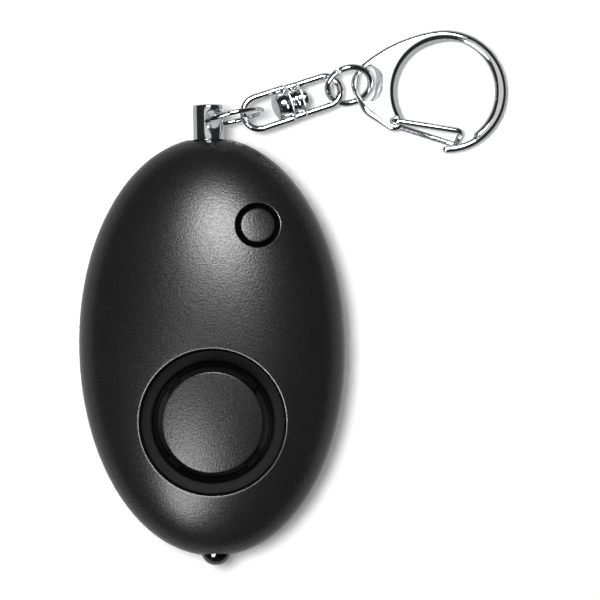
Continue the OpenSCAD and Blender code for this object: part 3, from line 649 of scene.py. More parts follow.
def meets_dome(point):
    """Where the chamfer of the button's hole meets the dome."""
    inside = BUTTON_HOLE_R + HOLE_EASE - off_axis(point, BUTTON)
    return -SKIN < inside < MEET_W and abs(point.z - dome(point.x, point.y)) < MEET_W / 2


crisp = 0
for edge in front.data.edges:
    if all(meets_dome(front.data.vertices[i].co / MM) for i in edge.vertices):
        edge.use_edge_sharp = True
        crisp += 1
print("sharp edges round the button's hole:", crisp)
dress(front, abs_case, "case", "case_plastic", "front_shell")

# %% [markdown]
# Three more finishes go on the front shell: matte plastic darkened as painted shade inside the recess
# and the button's hole, a darker painted shade down in the throat and the groove, and a paler grey on
# the two rims as a painted highlight. Each test looks at the middle of a face, with a hundredth of a
# millimetre to spare.

# %% Finishes of the front shell
THROAT_WIDE, RIM_MIN = 0.2, 0.008


def in_wells(point):
    """Inside the siren's recess or the button's hole, below their rims."""
    siren = off_axis(point, SIREN) < wall_r + SKIN and point.z > lip - LEDGE_ROUND
    below = dome(point.x, point.y) - point.z
    button = off_axis(point, BUTTON) < BUTTON_HOLE_R + SKIN and below > HOLE_EASE
    return siren or button


def in_shade(point):
    """Down in the throat, or in the groove at the foot of the recess's wall."""
    r = off_axis(point, SIREN)
    throat = r < THROAT_R + THROAT_WIDE and point.z < lip - LEDGE_ROUND / 2
    by_wall = wall_r - LINE_W - SKIN < r < wall_r + SKIN
    return throat or (by_wall and LEDGE_Z - LINE_D - SKIN < point.z < LEDGE_Z - SKIN)


def on_rims(point):
    """On the eased rim of the recess or of the button's hole."""
    siren = wall_r + SKIN < off_axis(point, SIREN) < SIREN_R - SKIN and point.z > LEDGE_Z
    below = dome(point.x, point.y) - point.z
    button = 0.0 < off_axis(point, BUTTON) - BUTTON_HOLE_R < HOLE_EASE and RIM_MIN < below < HOLE_EASE
    return siren or button


# painted shade: darker inside the recess and the hole, darker still in the throat and the groove
coat(front, abs_matte_painted_shade, in_wells)
coat(front, abs_painted_shade, in_shade)
# the two rims get a paler grey, a painted highlight
coat(front, abs_rim_highlight, on_rims)

# %% [markdown]
# ## Rear shell
#
# The rear half is deeper at its sides and flat where it rests on the table. It is a bowl: one loft
# from the flat, up the outside, over the rim and down the inside. Four posts carry the case screws,
# which are sunk in holes from the back, and a shallow recess takes the battery door.

# %% Bowl of the rear shell
POSTS = [(14, 8), (-14, 8), (11.5, -21), (-11.5, -21)]
POST_R, SCREW_HOLE_R, SCREW_SEAT_Z = 2.4, 2.0, 5.0
POST_SIDES, WELL_SIDES, WELL_EASE = 48, 64, 0.3
BACK_COLUMNS, BOWL_RINGS, BOWL_INNER_RINGS = 240, 30, 14
FLAT_IN, FLOOR_IN = 0.985, 0.9
BELOW = -1.0


def egg_ring(s, height, inset=0.0):
    """A ring at one share of the egg's outline."""
    ring = []
    for i in range(BACK_COLUMNS):
        a = 2 * math.pi * i / BACK_COLUMNS
        r = s * reach((0, 0), a, inset)
        ring.append((r * math.cos(a), r * math.sin(a), height))
    return ring


def bowl_height(s, full):
    """Height of a bowl of that full depth at one share of the outline, not yet cut flat."""
    return SEAM - full * (1 - min(s, 1) ** BACK_POWER) ** (1 / BACK_POWER)


def bowl(x, y):
    """Height of the outside of the back at a point."""
    return max(bowl_height(share(x, y), BACK_FULL), 0.0)


flat_share = (1 - (SEAM / BACK_FULL) ** BACK_POWER) ** (1 / BACK_POWER)
rings = [egg_ring(flat_share * FLAT_IN, 0.0)]
for k in range(1, BOWL_RINGS):
    s = flat_share + (1 - flat_share) * math.sin(math.pi / 2 * k / BOWL_RINGS)
    rings.append(egg_ring(s, min(bowl_height(s, BACK_FULL), SEAM - SEAM_EASE)))
rings += [egg_ring(1, SEAM - SEAM_EASE), egg_ring(1 - SEAM_EASE / HALF_W, SEAM)]
for k in range(BOWL_INNER_RINGS):
    s = flat_share + (1 - flat_share) * math.cos(math.pi / 2 * k / BOWL_INNER_RINGS)
    rings.append(egg_ring(s, max(bowl_height(s, BACK_FULL - WALL), WALL), WALL))
rings.append(egg_ring(flat_share * FLOOR_IN, WALL, WALL))
back = loft("rear_case", rings)

for place in POSTS:
    post = loft("post", [
        round_ring(place, POST_R, lambda x, y: bowl(x, y) + WALL / 2, POST_SIDES),
        round_ring(place, POST_R, SEAM, POST_SIDES)])
    combine(back, post, "UNION")
    well = loft("well", [
        round_ring(place, SCREW_HOLE_R + WELL_EASE, BELOW, WELL_SIDES),
        round_ring(place, SCREW_HOLE_R + WELL_EASE, lambda x, y: bowl(x, y) - PROUD, WELL_SIDES),
        round_ring(place, SCREW_HOLE_R, lambda x, y: bowl(x, y) + WELL_EASE, WELL_SIDES),
        round_ring(place, SCREW_HOLE_R, SCREW_SEAT_Z, WELL_SIDES)])
    combine(back, well, "DIFFERENCE")
print("flat back out to", round(flat_share, 3), "of the outline")

# %% [markdown]
# The door's recess has a small chamfer round it. An opening for the cells goes through its floor, and a
# boss beside the opening takes the door's screw.

# %% Recess for the door
DOOR_X, DOOR_Y0, DOOR_Y1, DOOR_R, DOOR_T = 9.75, -11.9, 6.6, 1.5, 1.0
DOOR_GAP, RECESS_EASE = 0.1, 0.2
OPEN_X, CELL_Y, OPEN_Y, OPEN_CORNER, OPEN_TOP = 8.45, -4.5, 6.1, 0.4, 3.0
DOOR_SCREW = (0.0, 4.2)
DOOR_BOSS_R, DOOR_BOSS_Z, DOOR_BORE_R, DOOR_BORE_Z = 2.2, (1.0, 6.0), 1.0, (0.5, 5.1)


def plate_ring(x, y0, y1, corner, z, per_corner=10):
    """A rectangle with rounded corners, at one height."""
    ring = []
    right, top, bottom = x - corner, y1 - corner, y0 + corner
    for i, (cx, cy) in enumerate([(right, top), (-right, top), (-right, bottom), (right, bottom)]):
        for k in range(per_corner + 1):
            a = math.pi / 2 * (i + k / per_corner)
            ring.append((cx + corner * math.cos(a), cy + corner * math.sin(a), z))
    return ring


def door_ring(grow, z):
    """The door's outline at one height, grown by some mm."""
    return plate_ring(DOOR_X + grow, DOOR_Y0 - grow, DOOR_Y1 + grow, DOOR_R + grow, z)


recess = loft("recess", [
    door_ring(DOOR_GAP + 2 * RECESS_EASE, -RECESS_EASE), door_ring(DOOR_GAP + RECESS_EASE, 0.0),
    door_ring(DOOR_GAP, RECESS_EASE), door_ring(DOOR_GAP, DOOR_T)])
combine(back, recess, "DIFFERENCE")
bay = loft("bay", [
    plate_ring(OPEN_X, CELL_Y - OPEN_Y, CELL_Y + OPEN_Y, OPEN_CORNER, z) for z in (BELOW, OPEN_TOP)])
combine(back, bay, "DIFFERENCE")
boss = loft("door_boss", [round_ring(DOOR_SCREW, DOOR_BOSS_R, z, 48) for z in DOOR_BOSS_Z])
combine(back, boss, "UNION")
bore = loft("door_bore", [round_ring(DOOR_SCREW, DOOR_BORE_R, z, 32) for z in DOOR_BORE_Z])
combine(back, bore, "DIFFERENCE")
for cutter in seam_bores():
    combine(back, cutter, "DIFFERENCE")
smooth_below(30)
dress(back, abs_case, "case", "case_plastic", "rear_shell")

# %% [markdown]
# ## Siren cap
#
# A round cap stands in the throat, and the sound comes out of the slot round it. Its top follows the
# dome a little lower down, and its edge is just rounded enough to catch a thin line of light. Four
# small feet hold it to the throat's wall.

# %% Cap in the throat
CAP_R, CAP_DROP, CAP_EASE = 7.95, 0.9, 0.22
CAP_WALL, CAP_HOLLOW, CAP_FOOT = 1.4, 1.3, 0.1
CAP_COLUMNS, CAP_RINGS = 192, 22
CENTRE_R = 0.02
FOOT_SIZE, FOOT_AT, FOOT_EASE = (1.6, 2.4, 1.0), 8.4, 0.15


def cap_ring(radius, height):
    """A ring round the siren with the cap's own count of columns."""
    return round_ring(SIREN, radius, height, CAP_COLUMNS)


def cap_top(x, y):
    """Height of the cap's top at a point."""
    return dome(x, y, CAP_DROP)


rings = [cap_ring(CENTRE_R, SHOULDER_Z + CAP_HOLLOW), cap_ring(CAP_R - CAP_WALL, SHOULDER_Z + CAP_HOLLOW)]
rings += [cap_ring(CAP_R - CAP_WALL, SHOULDER_Z)]
rings += [cap_ring(CAP_R - CAP_FOOT, SHOULDER_Z), cap_ring(CAP_R, SHOULDER_Z + CAP_FOOT)]
rings += blend_rings(
    cap_ring(CAP_R, lambda x, y: cap_top(x, y) - CAP_EASE), cap_ring(CAP_R, cap_top),
    cap_ring(CAP_R - CAP_EASE, cap_top), steps=4)
for k in range(1, CAP_RINGS + 1):
    rings.append(cap_ring((CAP_R - CAP_EASE) * (1 - k / CAP_RINGS) + CENTRE_R, cap_top))
cap_piece = loft("siren_disc", rings)
for q in (45, 135, 225, 315):
    pick()
    bpy.ops.mesh.primitive_cube_add(size=MM)
    foot = bpy.context.object
    foot.dimensions = Vector(FOOT_SIZE) * MM
    middle = Vector((FOOT_AT, 0, 0))
    middle.rotate(Euler((0, 0, math.radians(q))))
    foot.location = (middle + Vector((*SIREN, SHOULDER_Z + FOOT_SIZE[2] / 2))) * MM
    foot.rotation_euler = (0, 0, math.radians(q))
    bpy.ops.object.transform_apply()
    bpy.ops.object.mode_set(mode="EDIT")
    bpy.ops.mesh.bevel(offset=FOOT_EASE * MM, segments=2, affect="EDGES")
    bpy.ops.object.mode_set(mode="OBJECT")
    combine(cap_piece, foot, "UNION")
smooth_below(30)
dress(cap_piece, abs_case, "case", "case_plastic", "siren_cap")
# the cap's side and underside, seen down in the slot, get the painted shade
coat(cap_piece, abs_painted_shade,
     lambda p: p.z < cap_top(p.x, p.y) - CAP_EASE or off_axis(p, SIREN) > CAP_R - SKIN)

# %% [markdown]
# ## Light button
#
# The button that switches the lamp is a small round cap in its own hole, moulded from the same
# plastic. A flange under the shell keeps it from falling out, and a stem under the flange pushes the
# switch on the circuit board.

# %% Button
BUTTON_R, BUTTON_DROP, BUTTON_EASE, BUTTON_RINGS = 2.7, 0.25, 0.24, 10
STEM_R, STEM_Z, FLANGE_R, FLANGE_T, NIP = 1.5, SEAM + 2.6, 4.4, 0.9, 0.1


def button_ring(radius, height):
    """A ring round the button's axis."""
    return round_ring(BUTTON, radius, height)


def button_top(x, y):
    """Height of the button's top at a point."""
    return dome(x, y, BUTTON_DROP)


flange_z = BOSS_Z - NIP
flange_low = flange_z - FLANGE_T
rings = [button_ring(CENTRE_R, STEM_Z), button_ring(STEM_R - NIP, STEM_Z), button_ring(STEM_R, STEM_Z + NIP)]
rings += [button_ring(STEM_R, flange_low), button_ring(FLANGE_R - NIP, flange_low)]
rings += [button_ring(FLANGE_R, flange_low + NIP), button_ring(FLANGE_R, flange_z - NIP)]
rings += [button_ring(FLANGE_R - NIP, flange_z), button_ring(BUTTON_R, flange_z)]
rings += blend_rings(
    button_ring(BUTTON_R, lambda x, y: button_top(x, y) - BUTTON_EASE), button_ring(BUTTON_R, button_top),
    button_ring(BUTTON_R - BUTTON_EASE, button_top), steps=5)
for k in range(1, BUTTON_RINGS + 1):
    rings.append(button_ring((BUTTON_R - BUTTON_EASE) * (1 - k / BUTTON_RINGS) + CENTRE_R, button_top))
button = loft("light_push_button", rings)
dress(button, abs_case, "button", "button_plastic", "light_button")
# the button's side, seen in the gap round it, gets the painted shade
coat(button, abs_painted_shade, lambda p: p.z < button_top(p.x, p.y) - BUTTON_EASE)

# %% [markdown]
# ## Battery door
#
# The door is a flat plate in the recess of the back, held by a tongue at one end and a sunk screw at
# the other. Its edges are eased, so that a fine shadow line shows all round it.

# %% Door with its tongue
DOOR_EASE, DOOR_BEND = 0.2, 0.3
TONGUE_X, TONGUE_END, TONGUE_TOP, TONGUE_CORNER = 4.0, -9.5, 2.9, 0.2
TONGUE_STEPS = ((-10.5, 0.5), (-11.8, 1.9))
SINK_AT = ((2.2, -0.25), (1.95, 0.0), (DOOR_BORE_R, 0.8), (DOOR_BORE_R, 2.0))
door = loft("battery_cover", [
    door_ring(-DOOR_EASE, 0.0), door_ring(-DOOR_BEND * DOOR_EASE, DOOR_BEND * DOOR_EASE),
    door_ring(0, DOOR_EASE), door_ring(0, DOOR_T)])
for start, low in TONGUE_STEPS:
    tongue = loft("tongue", [
        plate_ring(TONGUE_X, start, TONGUE_END, TONGUE_CORNER, z, 3) for z in (low, TONGUE_TOP)])
    combine(door, tongue, "UNION")
sink = loft("sink", [round_ring(DOOR_SCREW, radius, z, WELL_SIDES) for radius, z in SINK_AT])
combine(door, sink, "DIFFERENCE")
smooth_below(30)
dress(door, abs_case, "case", "case_plastic", "battery_door")

# %% [markdown]
# ## Turning on a lathe
#
# Round parts are drawn as half a section and spun. A plane is merged to one vertex, the vertex is
# extruded along the section, and the Spin operator turns it. Each corner of the section may be eased,
# because a plated part without a rounded edge has no line of light along it.

# %% Lathe helpers
EASE_STEPS = 5


def ease_corners(section):
    """A section of (along, radius, ease) corners as a finer line, each corner cut back and curved."""
    line = []
    for i, (along, radius, ease) in enumerate(section):
        here = Vector((along, radius))
        if not ease:
            line.append(here)
            continue
        start = here + (Vector(section[i - 1][:2]) - here).normalized() * ease
        end = here + (Vector(section[i + 1][:2]) - here).normalized() * ease
        for k in range(EASE_STEPS + 1):
            f = k / EASE_STEPS
            line.append((1 - f) ** 2 * start + 2 * f * (1 - f) * here + f * f * end)
    return line


def turn(name, section, centre, axis, steps=96, smooth=35):
    """Spins a section of (along, radius, ease) in mm round an axis through a centre."""
    centre, axis = Vector(centre), Vector(axis).normalized()
    side = axis.orthogonal().normalized()
    spots = [(centre + axis * a + side * r) * MM for a, r in ease_corners(section)]
    pick()
    bpy.ops.mesh.primitive_plane_add(size=MM, location=spots[0])
    piece = bpy.context.object
    piece.name = piece.data.name = name
    bpy.ops.object.transform_apply()
    bpy.ops.object.mode_set(mode="EDIT")
    bpy.ops.mesh.merge(type="CENTER")
    for here, there in zip(spots, spots[1:]):
        bpy.ops.mesh.extrude_region_move(TRANSFORM_OT_translate={"value": there - here})
    bpy.ops.mesh.select_all(action="SELECT")
    bpy.ops.mesh.spin(steps=steps, angle=2 * math.pi, center=centre * MM, axis=axis)
    close_up(piece, smooth)
    return piece


def settle(piece, place):
    """Moves a piece that was modelled at the origin to its place, and applies it."""
    pick(piece)
    piece.matrix_world = place
    bpy.ops.object.transform_apply()


def frame_at(point, x=0.0, y=0.0, z=0.0):
    """A place in metres, turned by three angles in degrees."""
    turned = Euler([math.radians(q) for q in (x, y, z)]).to_matrix().to_4x4()
    return Matrix.Translation(Vector(point)) @ turned


print("each eased corner gets", EASE_STEPS, "steps")

# %% [markdown]
# ## Screws
#
# The case is held by four small cross-head screws at the bottom of their wells, and the door by one
# with a flat head. A cross recess is two crossed wedges cut out of the head. The screw is modelled
# once; the others are copies with meshes of their own.

# %% Cutter for a cross recess
RECESS_TAPER = 0.45


def cross_recess(size, depth, width):
    """A cutter for a cross recess, pointing up from z = 0."""
    cutter = None
    for q in (0, 90):
        pick()
        bpy.ops.mesh.primitive_cube_add(size=1)
        arm = bpy.context.object
        arm.dimensions = (size * MM, width * MM, 2 * depth * MM)
        arm.rotation_euler = (0, 0, math.radians(q))
        bpy.ops.object.transform_apply()
        bpy.ops.object.mode_set(mode="EDIT")
        shape = bmesh.from_edit_mesh(arm.data)
        for vert in shape.verts:
            vert.select_set(vert.co.z > 0)
        shape.select_flush_mode()
        bpy.ops.transform.resize(value=(RECESS_TAPER, RECESS_TAPER, 1))
        bpy.ops.object.mode_set(mode="OBJECT")
        if cutter:
            combine(cutter, arm, "UNION")
        else:
            cutter = arm
    return cutter


print("the recess narrows to", RECESS_TAPER, "of its width")

# %% Case screws
SHANK_R, TIP_R = 0.95, 0.4
SCREW_TOP, SCREW_HEAD_R, SCREW_END, SCREW_TIP, SCREW_TURN = 3.8, 1.9, 15.0, 0.4, 35
screw = turn("case_screw_set", [
    (SCREW_TOP, 0.0, 0), (SCREW_TOP, SCREW_HEAD_R, 0.35), (SCREW_SEAT_Z, SCREW_HEAD_R, 0.1),
    (SCREW_SEAT_Z, SHANK_R, 0), (SCREW_END - SCREW_TIP, SHANK_R, 0.3), (SCREW_END, TIP_R, 0), (SCREW_END, 0, 0),
], (0, 0, 0), (0, 0, 1), WELL_SIDES)
cutter = cross_recess(size=2.3, depth=0.8, width=0.55)
settle(cutter, frame_at((0, 0, SCREW_TOP * MM)))
combine(screw, cutter, "DIFFERENCE")
copies = []
for i, (x, y) in enumerate(POSTS):
    copy = screw.copy()
    copy.data = screw.data.copy()
    bpy.context.collection.objects.link(copy)
    settle(copy, frame_at((x * MM, y * MM, 0), z=SCREW_TURN * i))
    copies.append(copy)
bpy.data.objects.remove(screw)
pick(*copies)
bpy.ops.object.join()
screws = bpy.context.object
screws.name = screws.data.name = "case_screw_set"
smooth_below(30)
dress(screws, steel, "case", "steel", "case_screws")

# %% Door screw
FLAT_TOP, FLAT_HEAD_R, FLAT_HEAD_T, FLAT_END, FLAT_TIP, FLAT_TURN = 0.02, 1.85, 0.8, 5.0, 0.3, 20
flat_screw = turn("door_flat_screw", [
    (FLAT_TOP, 0.0, 0), (FLAT_TOP, FLAT_HEAD_R, 0.06), (FLAT_HEAD_T, SHANK_R, 0),
    (FLAT_END - FLAT_TIP, SHANK_R, 0.25), (FLAT_END, TIP_R, 0), (FLAT_END, 0, 0),
], (*DOOR_SCREW, 0), (0, 0, 1), WELL_SIDES)
cutter = cross_recess(size=2.1, depth=0.6, width=0.5)
settle(cutter, frame_at(Vector((*DOOR_SCREW, 0)) * MM, z=FLAT_TURN))
combine(flat_screw, cutter, "DIFFERENCE")
smooth_below(30)
dress(flat_screw, steel, "case", "steel", "door_screw")

# %% [markdown]
# ## Pull pin
#
# The pin's head is turned from brass and chrome plated. It is a short cylinder with rounded ends and
# a cross hole for its ring. The hole's edges are bevelled, as a countersink leaves them.

# %% Chrome head of the pin
PIN_Y, HEAD_R, HEAD_LEN = 32.55, 2.375, 5.6
HEAD_FOOT_EASE, HEAD_TOP_EASE = 0.14, 0.34
STEM_HOLE_R, STEM_HOLE_DEEP = 1.05, 1.2
EYE_Y, EYE_R, EYE_TURN, EYE_EASE = 35.8, 1.45, math.radians(24), 0.12
DRILL_HALF = 5.0

head = turn("pin_grip", [
    (0.0, STEM_HOLE_R, 0), (0.0, HEAD_R, HEAD_FOOT_EASE), (HEAD_LEN, HEAD_R, HEAD_TOP_EASE), (HEAD_LEN, 0.0, 0),
], (0, PIN_Y, SEAM), (0, 1, 0), 128)
bpy.ops.object.mode_set(mode="EDIT")
bpy.ops.mesh.select_all(action="DESELECT")
bpy.ops.mesh.select_non_manifold()
bpy.ops.mesh.extrude_region_move(TRANSFORM_OT_translate={"value": (0, STEM_HOLE_DEEP * MM, 0)})
bpy.ops.mesh.edge_face_add()
close_up(head)
drill = turn("drill", [
    (-DRILL_HALF, 0.0, 0), (-DRILL_HALF, EYE_R, 0), (DRILL_HALF, EYE_R, 0), (DRILL_HALF, 0.0, 0),
], (0, EYE_Y, SEAM), (math.sin(EYE_TURN), 0, math.cos(EYE_TURN)), 64)
combine(head, drill, "DIFFERENCE")
soft = head.modifiers.new("soft", "BEVEL")
soft.width = EYE_EASE * MM
soft.segments = 3
soft.limit_method = "ANGLE"
soft.angle_limit = math.radians(50)
bpy.ops.object.modifier_apply(modifier=soft.name)
smooth_below(40)
dress(head, chrome, "pin_grip", "chrome", "pin_head")

# %% [markdown]
# ## Bending wire
#
# The rest of the chain is bent wire. A filled circle is extruded along its straight runs and spun
# round its bends, as wire is bent round a peg. Spin turns clockwise for a positive angle, so angles
# are given with the other sign. The ends are rounded with a bevel, as tumbling leaves them.

# %% Wire helpers
END_STEPS = 4


def begin_wire(name, radius, start, heading, sides=32):
    """A disc in edit mode at the start of a wire, facing along it."""
    pick()
    bpy.ops.mesh.primitive_circle_add(
        vertices=sides, radius=radius * MM, fill_type="NGON", location=Vector(start) * MM,
        rotation=Vector(heading).to_track_quat("Z", "Y").to_euler())
    piece = bpy.context.object
    piece.name = piece.data.name = name
    bpy.ops.object.transform_apply()
    bpy.ops.object.mode_set(mode="EDIT")
    bpy.ops.mesh.select_all(action="SELECT")
    return piece


def run_wire(step):
    """A straight run, in mm."""
    bpy.ops.mesh.extrude_region_move(TRANSFORM_OT_translate={"value": Vector(step) * MM})


def bend_wire(degrees, centre, axis, steps):
    """A bend round an axis, right-handed."""
    bpy.ops.mesh.spin(steps=steps, angle=-math.radians(degrees), center=Vector(centre) * MM, axis=axis)


def end_wire(piece, ease):
    """Closes the wire and rounds its two cut ends."""
    bpy.ops.mesh.select_all(action="SELECT")
    bpy.ops.mesh.normals_make_consistent(inside=False)
    bpy.ops.mesh.select_all(action="DESELECT")
    bpy.ops.mesh.select_mode(type="FACE")
    shape = bmesh.from_edit_mesh(piece.data)
    for face in shape.faces:
        face.select_set(len(face.verts) > 4)
    bmesh.update_edit_mesh(piece.data)
    bpy.ops.mesh.bevel(offset=ease * MM, segments=END_STEPS, affect="EDGES")
    bpy.ops.mesh.select_mode(type="VERT")
    close_up(piece)


print("cut ends are rounded in", END_STEPS, "steps")

# %% [markdown]
# ## Ring in the pin
#
# A plain ring of thin wire goes through the pin's cross hole. It is wound and cut, so its two ends
# meet in a fine butt joint, which is turned out of sight into the hole's side.

# %% Ring of thin wire
RING_R, RING_WIRE, RING_CUT, RING_CUT_AT = 4.7, 0.76, 1, math.radians(100)
RING_LEAN, RING_HEADING = 90 - 6.3, 12
low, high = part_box("pin_ring")
ring_place = frame_at((low + high) / 2, x=RING_LEAN, z=RING_HEADING)
ring = begin_wire("pin_wire_ring", RING_WIRE / 2, (RING_R, 0, 0), (0, 1, 0))
bend_wire(360 - RING_CUT, (0, 0, 0), (0, 0, 1), 180)
end_wire(ring, 0.06)
settle(ring, ring_place @ Matrix.Rotation(RING_CUT_AT, 4, "Z"))
dress(ring, chrome, "ring", "chrome", "pin_ring")

# %% [markdown]
# ## Swivel
#
# The swivel is two wire loops that turn against each other on a rivet. Each loop ends in a drum, and
# the two drums meet face to face. Each drum has a waist and a fine lip, which shows as a bright line
# across it, and the left one ends in a dull, slightly domed disc. The loops are bent wire and the drums
# are turned; the Boolean modifier welds each drum to its loop.

# %% Place and sizes of the swivel
joints = {joint["name"]: joint for joint in frame["joints"]}
swivel_from = Vector(joints["swivel_tilt"]["pos_m"])
swivel_to = Vector(joints["link_swing"]["pos_m"])
along = swivel_to - swivel_from
SWIVEL_LEN = along.length / MM
swivel_pitch = -math.degrees(math.asin(along.z / along.length))
swivel_heading = math.degrees(math.atan2(along.y, along.x))
swivel_place = frame_at(swivel_from, y=swivel_pitch, z=swivel_heading)
LOOP_R, RIGHT_LOOP_R, LOOP_WIRE = 2.57, 2.4, 1.06
DRUM_MID, DRUM_END = 7.8, 9.7
DISC_X, DISC_R, DISC_RISE = 5.5, 2.2, 0.65
FLARE, FLARE_R, WAIST_R, WAIST_EASE = 0.45, 2.45, 1.9, 0.3
LIP_R, LIP_T, LIP_EASE = 3.0, 0.26, 0.1
FIT = 0.05
RIVET_R, RIVET_HEAD_R, RIVET_HEAD_T = 0.8, 1.2, 1.1
BORE_R = RIVET_R + FIT
print("swivel", round(SWIVEL_LEN, 2), "mm long, dips by", round(swivel_pitch, 1), "degrees")

# %% Shapes of the loops and drums
def wire_loop(name, radius, length):
    """A loop of that radius round x = 0, whose two legs run along +X to that length."""
    piece = begin_wire(name, LOOP_WIRE / 2, (length, radius, 0), (-1, 0, 0))
    run_wire((radius - length, 0, 0))
    bend_wire(180, (radius, 0, 0), (0, 0, 1), 40)
    run_wire((length - radius, 0, 0))
    end_wire(piece, 0.2)
    return piece


def disc_x(radius):
    """Where the domed end of the left drum lies, at a distance from its axis."""
    return DISC_X - DISC_RISE * (1 - (radius / DISC_R) ** 2)


def disc_line(start, end, steps):
    """The section of the domed end between two radii."""
    radii = [start + (end - start) * k / steps for k in range(steps + 1)]
    return [(disc_x(r), r, 0) for r in radii]


def drum_side(start, end):
    """The side of a drum: down to its waist, up to the lip, and down the flat face at its end."""
    lip_x = end - LIP_T
    return [
        (start + FLARE, WAIST_R, WAIST_EASE), (lip_x - FLARE, WAIST_R, WAIST_EASE), (lip_x, FLARE_R, 0),
        (lip_x, LIP_R, LIP_EASE), (end, LIP_R, LIP_EASE), (end, BORE_R, 0),
    ]


print("drums from", DISC_X - DISC_RISE, "to", DRUM_END, "mm along the swivel")

# %% Left half with its loop
eye = wire_loop("swivel_left_loop", LOOP_R, DRUM_MID - FIT)
section = disc_line(BORE_R, DISC_R, 8) + drum_side(DISC_X, DRUM_MID - FIT)
drum = turn("left_drum", section + section[:1], (0, 0, 0), (1, 0, 0), 96)
combine(eye, drum, "UNION")
smooth_below(40)
settle(eye, swivel_place)
dress(eye, chrome, "swivel_left", "chrome", "swivel_eye")
axis_line = along.normalized()
DISC_SKIN = 0.03


def along_and_out(point):
    """How far along the swivel's axis a point lies, and how far from the axis."""
    offset = point - swivel_from / MM
    far = offset.dot(axis_line)
    return far, (offset - axis_line * far).length


def on_disc(point):
    """On the domed end of the left drum and of the rivet."""
    far, out = along_and_out(point)
    return abs(far - disc_x(out)) < DISC_SKIN


def on_lip(point):
    """On the outer edge of either drum's lip."""
    far, out = along_and_out(point)
    off_lip = min(abs(far - end + LIP_T / 2) for end in (DRUM_MID - FIT, DRUM_END))
    return out > LIP_R - LIP_EASE and off_lip < LIP_T / 2


coat(eye, chrome_cast, lambda p: on_disc(p) or on_lip(p))

# %% Right half, turned to face the left one
yoke = wire_loop("swivel_right_loop", RIGHT_LOOP_R, SWIVEL_LEN - DRUM_MID - FIT)
settle(yoke, frame_at((SWIVEL_LEN * MM, 0, 0), z=180))
face_x = DRUM_MID + FIT
section = [(face_x, BORE_R, 0), (face_x, FLARE_R, LIP_EASE)] + drum_side(face_x, DRUM_END)
drum = turn("right_drum", section + section[:1], (0, 0, 0), (1, 0, 0), 96)
combine(yoke, drum, "UNION")
smooth_below(40)
settle(yoke, swivel_place)
dress(yoke, chrome, "swivel_right", "chrome", "swivel_yoke")
coat(yoke, chrome_cast, on_lip)

# %% Rivet through both drums
head_x = DRUM_END + FIT
rivet = turn("swivel_axle", disc_line(0.0, RIVET_R, 4) + [
    (head_x, RIVET_R, 0), (head_x, RIVET_HEAD_R, 0.3),
    (head_x + RIVET_HEAD_T, RIVET_HEAD_R, 0.6), (head_x + RIVET_HEAD_T, 0.0, 0),
], (0, 0, 0), (1, 0, 0), 64)
settle(rivet, swivel_place)
dress(rivet, chrome, "swivel_left", "chrome", "swivel_rivet")
coat(rivet, chrome_cast, on_disc)

# %% [markdown]
# ## Link ring
#
# One turn of thicker wire joins the swivel to the hook. It was opened to thread it and pressed shut
# again, and a gap is left where its ends meet.

# %% Split link
LINK_R, LINK_WIRE, LINK_CUT, LINK_CUT_AT = 3.5, 1.06, 6, 118
LINK_PITCH, LINK_HEADING, LINK_ROLL, LINK_PLAY = 9, 8, 40, 0.85
LINK_REACH = LINK_R - LINK_WIRE / 2 - LOOP_WIRE / 2 - LINK_PLAY
reach_out = frame_at((0, 0, 0), y=LINK_PITCH, z=LINK_HEADING) @ Vector((LINK_REACH, 0, 0))
link_place = frame_at(swivel_to + reach_out * MM, y=LINK_PITCH, z=LINK_HEADING)
link_place = link_place @ frame_at((0, 0, 0), x=LINK_ROLL)
link = begin_wire("link_wire_ring", LINK_WIRE / 2, (LINK_R, 0, 0), (0, 1, 0))
bend_wire(360 - LINK_CUT, (0, 0, 0), (0, 0, 1), 150)
end_wire(link, 0.16)
settle(link, link_place @ Matrix.Rotation(math.radians(LINK_CUT_AT + LINK_CUT / 2), 4, "Z"))
dress(link, chrome, "link", "chrome", "link_ring")

# %% [markdown]
# ## Snap hook
#
# The hook is die cast: a flat plate with a small hole at one end, and a bar that leaves the plate and
# curls round a large eye. Its outline is one closed line. The line is lofted up through the
# thickness, drawn in a little at each level, so that every edge is rounded, and wide where the bar is
# round. The flat faces are filled last.

# %% Place of the hook
HOOK_PITCH, HOOK_HEADING = 4, -6.7
hook_mount = next(m for m in frame["record"]["mounts"] if m["name"] == "hook_eye")
hook_place = frame_at(hook_mount["pos_m"], y=HOOK_PITCH, z=HOOK_HEADING)
print("middle of the eye, mm:", [round(x / MM, 2) for x in hook_mount["pos_m"]])

# %% Outline of the hook
HOOK_R, HOOK_BAR, HOOK_T, HOOK_ARM = 8.2, 1.6, 1.6, 12.2
OUTER = HOOK_R + HOOK_BAR
BAR_SWELL = 0.28
HOLE_W, HOLE_H, HOLE_RIM = 4.0, 5.7, 1.0
GATE_BOSS, GATE_BOSS_R = Vector((-7.7, -5.5)), 1.65
NOSE_FROM, NOSE_TO, NOSE_WALL, NOSE_T = -84, -50, 1.15, 1.3
BROW_R, BROW_FROM, BROW_TO = 24.0, 104, 136
HOLE_END = Vector((-HOOK_ARM, 0))
CHEEK, CHEEK_R = Vector((1.8 - HOOK_ARM, -2.3)), 3.3
PLATE_ROUNDS = [(HOLE_END, HOLE_W / 2 + HOLE_RIM), (CHEEK, CHEEK_R), (GATE_BOSS, GATE_BOSS_R)]
FIRST_HULL, LAST_HULL, BOSS_TO, EYE_FROM = 150, 240, 366, 219
OUTLINE_STEP = 0.16


def way(q):
    """A direction in the hook's plane, in degrees."""
    return Vector((math.cos(math.radians(q)), math.sin(math.radians(q))))


def hull_point(q):
    """The outermost point of the plate's rounds in one direction."""
    middle, radius = max(PLATE_ROUNDS, key=lambda c: c[0].dot(way(q)) + c[1])
    return middle + way(q) * radius


